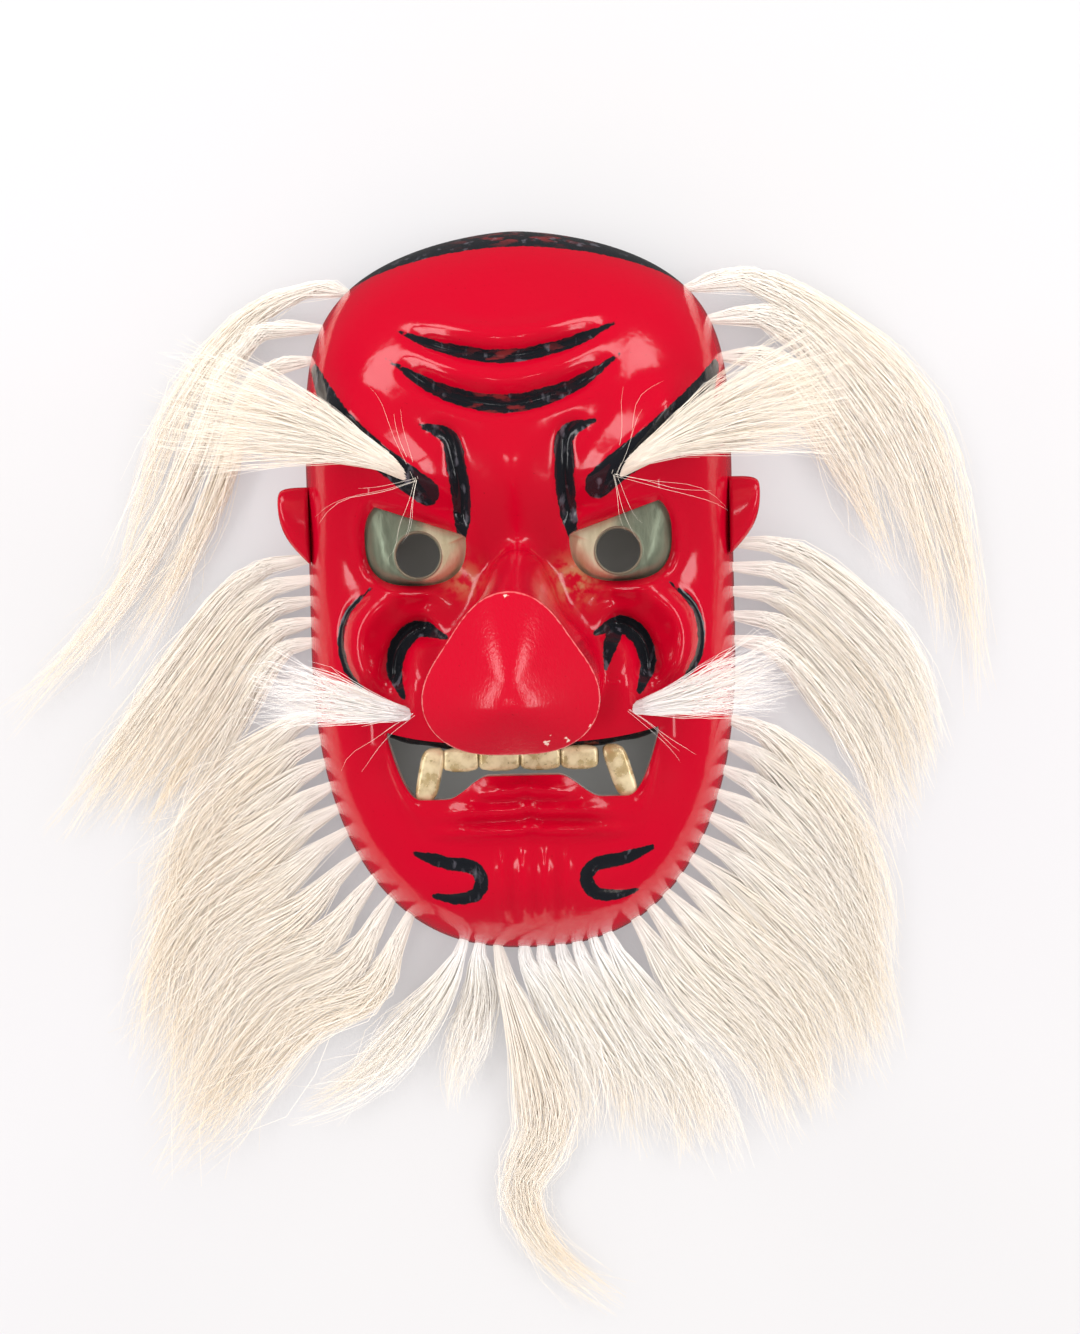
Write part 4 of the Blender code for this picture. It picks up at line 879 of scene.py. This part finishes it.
def strands(route, rng, count, wide, high=FLAT, rings=8, clumps=8, gather=0.5, wander=3.5, reach=(0.4, 1.06),
            fine=0.098, root=1.5, loose=0.08, tones=BEIGE_TONES):
    """Fine three-sided hairs that follow one path. Each keeps its place in the bundle's round section,
    whose half width and height are given along the path, is drawn towards its clump's middle, and sways
    with sines whose size grows with the power 1.5 of the way along. Reach is the shortest and longest share
    of the path that a hair covers. Gives their points as hairs by rings by corners by X, Y, Z, and their
    colours, which go from the root's tone over the middle's to the end's, some hairs and clumps darker or
    warmer than others."""
    travelled = np.concatenate([[0.0], np.cumsum(np.linalg.norm(np.diff(route, axis=0), axis=1))])
    length = travelled[-1]
    t = np.linspace(0.0, 1.0, rings)[None, :]
    group = rng.integers(0, clumps, count)
    ends = reach[0] + (reach[1] - reach[0]) * rng.beta(2.2, 1.3, (count, 1))
    ends *= rng.uniform(0.82, 1.0, clumps)[group, None]
    s = (t + rng.uniform(-0.45, 0.45, (count, 1)) * np.sin(np.pi * t) / (rings - 1)) * ends
    where = s * length
    centre = np.stack([np.interp(where, travelled, route[:, i]) for i in range(3)], axis=-1)
    ahead = unit(np.gradient(route, travelled, axis=0))
    heading = unit(np.stack([np.interp(where, travelled, ahead[:, i]) for i in range(2)], axis=-1))
    centre[..., :2] += heading * np.maximum(where - length, 0.0)[..., None]
    across = np.stack([heading[..., 1], -heading[..., 0]], axis=-1)

    own, middle = disc(rng, count), disc(rng, clumps)[group]
    pull = gather * smooth_step(0.05, 0.9, s)[..., None]
    place = own[:, None] * (1 - pull) + middle[:, None] * pull
    shares = np.linspace(0.0, 1.0, len(wide))
    half_wide, half_high = np.interp(s, shares, wide), np.interp(s, shares, high)
    open_out = smooth_step(0.0, 0.16, s)
    grow = s**1.5
    phase = rng.uniform(0, 2 * np.pi, (2, clumps))[:, group, None]
    pace = rng.uniform(0.5, 1.4, clumps)[group, None]
    own_phase, own_pace = rng.uniform(0, 2 * np.pi, (2, count, 1)), rng.uniform(0.6, 1.8, (count, 1))
    stray = np.where(rng.uniform(0, 1, (count, 1)) < loose, 2.6, 0.4)

    def swing(size, k):
        """The clump's sine plus the hair's own one, which is larger on a loose hair."""
        shared = np.sin(2 * np.pi * pace * s + phase[k])
        return size * grow * (shared + stray * np.sin(2 * np.pi * own_pace * s + own_phase[k]))

    sideways = place[..., 0] * (root + (half_wide - root) * open_out) + swing(wander, 0)
    upward = place[..., 1] * (root + (half_high - root) * open_out) + swing(0.35 * wander, 1)
    points = centre.copy()
    points[..., :2] += across * sideways[..., None]
    points[..., 2] += upward
    radius = fine * rng.uniform(0.75, 1.25, (count, 1)) * (1 - 0.72 * t**3)
    points[..., 2] = np.maximum(points[..., 2], 0.2 + radius)
    going = unit(np.gradient(points, axis=1))
    beside = unit(np.cross(going, [0.0, 0.0, 1.0]))
    above = np.cross(beside, going)
    turn = np.radians([30.0, 150.0, 270.0])
    round_hair = np.cos(turn)[:, None] * beside[:, :, None] + np.sin(turn)[:, None] * above[:, :, None]
    corners = points[:, :, None] + radius[..., None, None] * round_hair

    root_tone, middle_tone, end_tone = (np.array(tone) for tone in tones)
    to_middle, to_end = smooth_step(0.02, 0.3, s)[..., None], smooth_step(0.55, 1.05, s)[..., None]
    colour = (root_tone * (1 - to_middle) + middle_tone * to_middle) * (1 - to_end) + end_tone * to_end
    shade = rng.normal(1.0, 0.04, (count, 1, 1)) * rng.normal(1.0, 0.03, clumps)[group][:, None, None]
    warm = 0.5 * rng.uniform(0.0, 1.0, (count, 1, 1)) ** 3
    warm = warm + rng.uniform(0.0, 1.0, clumps)[group, None, None] ** 2
    colour = colour * shade * (1 - warm * to_middle * WARMTH)
    return corners, np.repeat(np.clip(colour, 0.0, 0.985)[:, :, None], 3, axis=2)


def hair_piece(name, bundles, nodes, material):
    """One mesh of many closed hairs, which stands for the frame's solid locks."""
    vertices, groups, colours, first = [], [], [], 0
    for corners, colour in bundles:
        count, rings = corners.shape[:2]
        start = first + np.arange(count)[:, None, None] * rings * 3
        quads, *caps = (faces[:, ::-1] for faces in tube_grid(rings, 3))
        for faces in (np.roll(quads, 1, axis=1), np.vstack(caps)):
            groups.append((start + faces).reshape(-1, faces.shape[1]))
        vertices.append(corners.reshape(-1, 3))
        colours.append(colour.reshape(-1, 3))
        first += corners.size // 3
    tone = np.concatenate(colours)
    tone = np.column_stack([tone, np.ones(len(tone))])
    made = mesh_piece(name, np.concatenate(vertices), groups, material, {"tone": tone}, smooth=False)
    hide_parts(*nodes)
    return made


# Locks a family, and the paths of its first, last and any middle one, from the root to the tip
LOCKS = {
    "temple_left": (3, [[(-57, 105), (-88, 97), (-113, 70), (-130, 32), (-142, 3)],
                        [(-67, 94), (-94, 86), (-112, 47), (-137, 2), (-181, -41)],
                        [(-71, 83), (-90, 72), (-103, 38), (-119, 6), (-141, -24)]]),
    "temple_right": (3, [[(59, 104), (90, 100), (133, 62), (149, 10), (156, -39)],
                         [(67, 93), (96, 86), (125, 48), (138, 8), (144, -24)],
                         [(72, 81), (92, 72), (113, 42), (122, 16), (126, 0)]]),
    "side_left": (5, [[(-70, 12), (-95, 6), (-122, -25), (-162, -80)],
                      [(-69, -16), (-86, -22), (-103, -47), (-124, -76)]]),
    "side_right": (5, [[(72, 15), (97, 9), (128, -22), (145, -62)],
                       [(72, -18), (90, -25), (112, -54), (126, -92)]]),
    "beard_left": (10, [[(-70, -40), (-90, -52), (-110, -72), (-132, -98)],
                        [(-64, -76), (-88, -92), (-118, -116), (-132, -162)],
                        [(-41, -109), (-54, -135), (-82, -147), (-123, -196)]]),
    "beard_right": (11, [[(70, -45), (88, -56), (110, -85), (122, -126)],
                         [(59, -85), (80, -101), (107, -133), (119, -166)],
                         [(36, -112), (52, -136), (76, -160), (88, -189)]]),
}
# The first three locks under the chin, then the first and last of the fan beside them
CHIN_LOCKS = [
    [(-23, -120), (-34, -139), (-55, -162), (-83, -178)],
    [(-17, -119), (-18, -139), (-24, -160), (-27, -175)],
    [(-11, -117), (-6, -139), (4, -181), (-6, -203), (4, -226), (31, -248)],
    [(-2, -114), (7, -140), (17, -163), (21, -189)],
    [(27, -119), (43, -146), (62, -172), (72, -197)],
]


def between(first, last, share):
    """A path between two, by the share of the last."""
    return np.asarray(first, float) * (1 - share) + np.asarray(last, float) * share


def lock_places(family):
    """The paths of one family: those between two key ones follow both in equal steps."""
    if family == "chin":
        fan = [between(CHIN_LOCKS[3], CHIN_LOCKS[4], k / 5) for k in range(6)]
        return [*CHIN_LOCKS[:3], *fan]
    count, keys = LOCKS[family]
    paths = []
    for k in range(count):
        place = k / (count - 1) * (len(keys) - 1)
        at = min(int(place), len(keys) - 2)
        paths.append(between(keys[at], keys[at + 1], place - at))
    return paths


# How the hairs of each family's locks are made, as strands takes it
BEARD_WIDE = (1.6, 5, 10, 14, 12, 7)
FAMILY_SHAPES = {
    "temple_left": dict(count=205, wide=(1.6, 3.5, 6, 6, 4, 2), wander=4.5, clumps=7, reach=(0.35, 1.06)),
    "temple_right": dict(count=300, wide=(1.6, 6, 11, 11, 6, 3), clumps=12, reach=(0.4, 1.05)),
    "side_left": dict(count=280, wide=(1.6, 4, 6, 6, 4, 2)),
    "side_right": dict(count=270, wide=(1.6, 4, 6, 7, 5, 3), wander=3.0, tones=CREAM_TONES),
    "beard_left": dict(count=310, wide=BEARD_WIDE, wander=6.0, clumps=12, reach=(0.4, 1.08)),
    "beard_right": dict(count=310, wide=BEARD_WIDE, clumps=12, reach=(0.4, 1.08), tones=CREAM_TONES),
    "chin": dict(count=275, wide=(1.6, 5, 9, 11, 8, 4), rings=10, clumps=10, reach=(0.4, 1.05),
                 tones=PALE_TONES),
}
# The long tail under the chin differs from the locks beside it
TAIL = "chin_3"
TAIL_SHAPE = dict(count=400, wide=(1.6, 6, 14, 9, 4, 1.5), reach=(0.5, 1.03), tones=BEIGE_TONES)


def build_wall_hair(material):
    """All locks round the side wall, one mesh a family."""
    made = []
    for number, (family, shape) in enumerate(FAMILY_SHAPES.items()):
        rng = np.random.default_rng(100 + number)
        locks = {f"{family}_{k + 1}": places for k, places in enumerate(lock_places(family))}
        bundles = []
        for name, places in locks.items():
            lock_shape = {**shape, **TAIL_SHAPE} if name == TAIL else shape
            bundles.append(strands(wall_route(places), rng, **lock_shape))
        made.append(hair_piece(f"hair_{family}", bundles, locks, material))
    return made


# The hole, path and rise of each tuft on the right, how its hairs are made, and the paths of the few loose
# ones that leave it, over the forehead, the eye and the cheek
FACE_TUFTS = {
    "eyebrow": dict(
        root=(31, 33.5),
        places=[(38, 38), (58, 47), (82, 54), (101, 58)],
        lift=(-3, 2.0, 5.0, 8.0, 9.0),
        shape=dict(count=1000, wide=(1.3, 4, 12, 19, 25), high=(1.3, 3, 5, 6, 6)),
        strays=[[(35, 44), (38, 57), (47, 66)], [(33, 26), (36, 15), (43, 8)],
                [(44, 30), (58, 27), (68, 20)]],
        tones=BROW_TONES,
    ),
    "moustache": dict(
        root=(34, -40),
        places=[(40, -39), (54, -36), (70, -32), (83, -30)],
        lift=(-3, 2.0, 4.0, 5.0, 5.0),
        shape=dict(count=440, wide=(1.4, 4, 8, 12, 15), high=(1.4, 2, 3, 3, 3)),
        strays=[[(42, -46), (50, -54), (57, -62)]],
        tones=WHITE_TONES,
    ),
}
TUFT_SHAPE = dict(rings=7, clumps=30, gather=0.2, wander=2.6, reach=(0.25, 1.18), fine=0.08, loose=0.1)
STRAY_SHAPE = dict(count=3, wide=(1.0, 3, 7), high=(1.0, 1.5, 2), rings=9, clumps=3, gather=0.0, wander=2.0,
                   reach=(0.4, 1.0), fine=0.045, root=1.0, loose=0.0)


def build_face_hair(material):
    """Brow and moustache tufts: short paths from the hole that fan out over the side wall and stand in the
    air."""
    made = []
    for name, tuft in FACE_TUFTS.items():
        root, tones = tuft["root"], tuft["tones"]
        height = face_height(np.array([root[0]], float), np.array([root[1]], float))[0]
        for side, word in ((1, "right"), (-1, "left")):
            rng = np.random.default_rng(300 + side + len(name))

            def route(places, rise):
                """A smooth path from the hole, at heights above the face there."""
                plan = np.array([root, *places], float) * [side, 1.0]
                return smooth_curve(np.column_stack([plan, height + np.asarray(rise, float)]), 6)

            shape = {**tuft["shape"], **TUFT_SHAPE}
            bundles = [strands(route(tuft["places"], tuft["lift"]), rng, tones=tones, **shape)]
            for path in tuft["strays"]:
                stray = route(path, np.linspace(1.0, 9.0, len(path) + 1))
                bundles.append(strands(stray, rng, tones=tones, **STRAY_SHAPE))
            made.append(hair_piece(f"hair_{name}_{word}", bundles, [f"{name}_{word}"], material))
    return made


# The setting, in metres from here on
FOOTPRINT, GLOW = (0.070, 0.119), 0.325
FLOOR_HALF = 3000.0
FACE, LOW_FACE, LYING = (0.0, 0.1, 0.12), (0.0, 0.1, 0.08), (0.0, 0.1, 0.05)
# Place, aim, size, power in watts and colour
LIGHTS = {
    "left_window": ((-0.95, 0.3, 0.75), LOW_FACE, (0.9, 0.25), 4.0, (1, 1, 1)),
    "right_window": ((0.98, 0.3, 0.75), LOW_FACE, (0.9, 0.25), 4.0, (1, 1, 1)),
    "left_top_window": ((-0.60, 0.92, 0.66), FACE, (0.32, 0.5), 2.3, (1, 1, 1)),
    "right_top_window": ((0.63, 0.92, 0.66), FACE, (0.32, 0.5), 2.3, (1, 1, 1)),
    "left_lamp": ((-0.14, 0.2, 0.9), LYING, (0.06, 0.08), 0.16, (1, 1, 1)),
    "right_lamp": ((0.17, 0.2, 0.9), LYING, (0.06, 0.08), 0.16, (1, 1, 1)),
    "mouth_fill": ((0.0, 0.06, 0.026), (0.0, 0.0601, 0.0), (0.08, 0.05), 0.006, (0.97, 1.0, 0.95)),
    "eye_fill": ((0.0, 0.13, 0.027), (0.0, 0.1301, 0.0), (0.08, 0.03), 0.0015, (1.0, 0.95, 0.80)),
}
CAMERA_PLACE, CAMERA_TURN = (0.0148, 0.09325, 0.645), (0.0, 0.0145, -0.025)
CAMERA_LENS, CAMERA_SENSOR = 50.6, 36.0


def build_floor():
    """Pale floor. It gives off a faint light outside an oval under the mask, where the distance from the
    oval's middle in shares of its half sizes steps up to 1, and it isn't seen in reflections."""
    g = Graph("floor_look", (0.42, 0.41, 0.41), 0.6)
    cloudy = g.step(g.noise(3.0, 2.0), 0.35, 0.65)
    g.set("Base Color", g.mix(cloudy, (0.39, 0.382, 0.386), (0.385, 0.379, 0.376)))
    g.set("Specular IOR Level", 0.1)
    g.set("Emission Color", (0.99, 0.975, 1.0))
    where = g.tree.nodes.new("ShaderNodeTexCoord")
    oval = g.tree.nodes.new("ShaderNodeMapping")
    oval.inputs["Scale"].default_value = (1 / FOOTPRINT[0], 1 / FOOTPRINT[1], 1.0)
    oval.inputs["Location"].default_value = (0.0, -1.0, 0.0)
    away = g.tree.nodes.new("ShaderNodeVectorMath")
    away.operation = "LENGTH"
    g.tree.links.new(where.outputs["Object"], oval.inputs["Vector"])
    g.tree.links.new(oval.outputs["Vector"], away.inputs[0])
    g.set("Emission Strength", g.step(away.outputs["Value"], 0.8, 1.0, 0.0, GLOW))
    half = FLOOR_HALF
    corners = np.array([(-half, -half, 0), (half, -half, 0), (half, half, 0), (-half, half, 0)])
    floor = mesh_piece("floor", corners, [np.array([[0, 1, 2, 3]])], g.material)
    floor.visible_glossy = False


def build_world():
    """White surroundings, brighter at the horizon than overhead, and much darker where reflections see
    them."""
    world = bpy.data.worlds.new("soft_white")
    world.use_nodes = True
    tree = world.node_tree
    background = tree.nodes["Background"]
    background.inputs["Color"].default_value = (1.0, 0.985, 0.98, 1.0)
    where = tree.nodes.new("ShaderNodeTexCoord")
    split = tree.nodes.new("ShaderNodeSeparateXYZ")
    tree.links.new(where.outputs["Generated"], split.inputs["Vector"])
    path = tree.nodes.new("ShaderNodeLightPath")
    choose = tree.nodes.new("ShaderNodeMix")
    tree.links.new(path.outputs["Is Glossy Ray"], choose.inputs["Factor"])
    for socket, horizon, overhead, low, high in (("A", 1.6, 1.1, 0.15, 0.95), ("B", 0.10, 0.012, -0.5, 0.3)):
        fade = tree.nodes.new("ShaderNodeMapRange")
        fade.interpolation_type = "SMOOTHSTEP"
        for key, number in (("From Min", low), ("From Max", high), ("To Min", horizon), ("To Max", overhead)):
            fade.inputs[key].default_value = number
        tree.links.new(split.outputs["Z"], fade.inputs["Value"])
        tree.links.new(fade.outputs["Result"], choose.inputs[socket])
    tree.links.new(choose.outputs["Result"], background.inputs["Strength"])
    bpy.context.scene.world = world


def build_setting():
    """Floor, surroundings, windows and lamps on both sides, two small lights for the light that reaches the
    inside, and the camera looking down on the lying mask."""
    build_floor()
    build_world()
    scene = bpy.context.scene
    scene.view_settings.view_transform = "Standard"
    for name, (place, aim, size, power, colour) in LIGHTS.items():
        light = bpy.data.lights.new(name, "AREA")
        light.shape = "RECTANGLE"
        light.size, light.size_y = size
        light.energy = power
        light.color = colour
        made = bpy.data.objects.new(name, light)
        made.location = place
        made.rotation_euler = (Vector(aim) - Vector(place)).to_track_quat("-Z", "Y").to_euler()
        scene.collection.objects.link(made)
    camera = bpy.data.cameras.new("camera")
    camera.sensor_width = CAMERA_SENSOR
    camera.lens = CAMERA_LENS
    made = bpy.data.objects.new("camera", camera)
    made.location = CAMERA_PLACE
    made.rotation_euler = CAMERA_TURN
    scene.collection.objects.link(made)
    scene.camera = made


lacquer = lacquer_material()
hair = hair_material()
shell = build_shell(lacquer)
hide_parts("mask_shell")
ears = build_ears(lacquer)
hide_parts("mask_shell")
teeth, gum = build_teeth(gold_material(), gum_material())
for piece in (teeth, gum):
    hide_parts("mask_shell")
plates = []
brass = brass_material()
for side, word in ((1, "right"), (-1, "left")):
    plate = build_eye_plate(f"eye_plate_{word}_fine", side, brass)
    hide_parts(f"eye_plate_{word}")
    plates.append(plate)
tufts = build_wall_hair(hair) + build_face_hair(hair)
for piece in (shell, ears, teeth, gum, *plates, *tufts):
    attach(piece, "root")
build_setting()
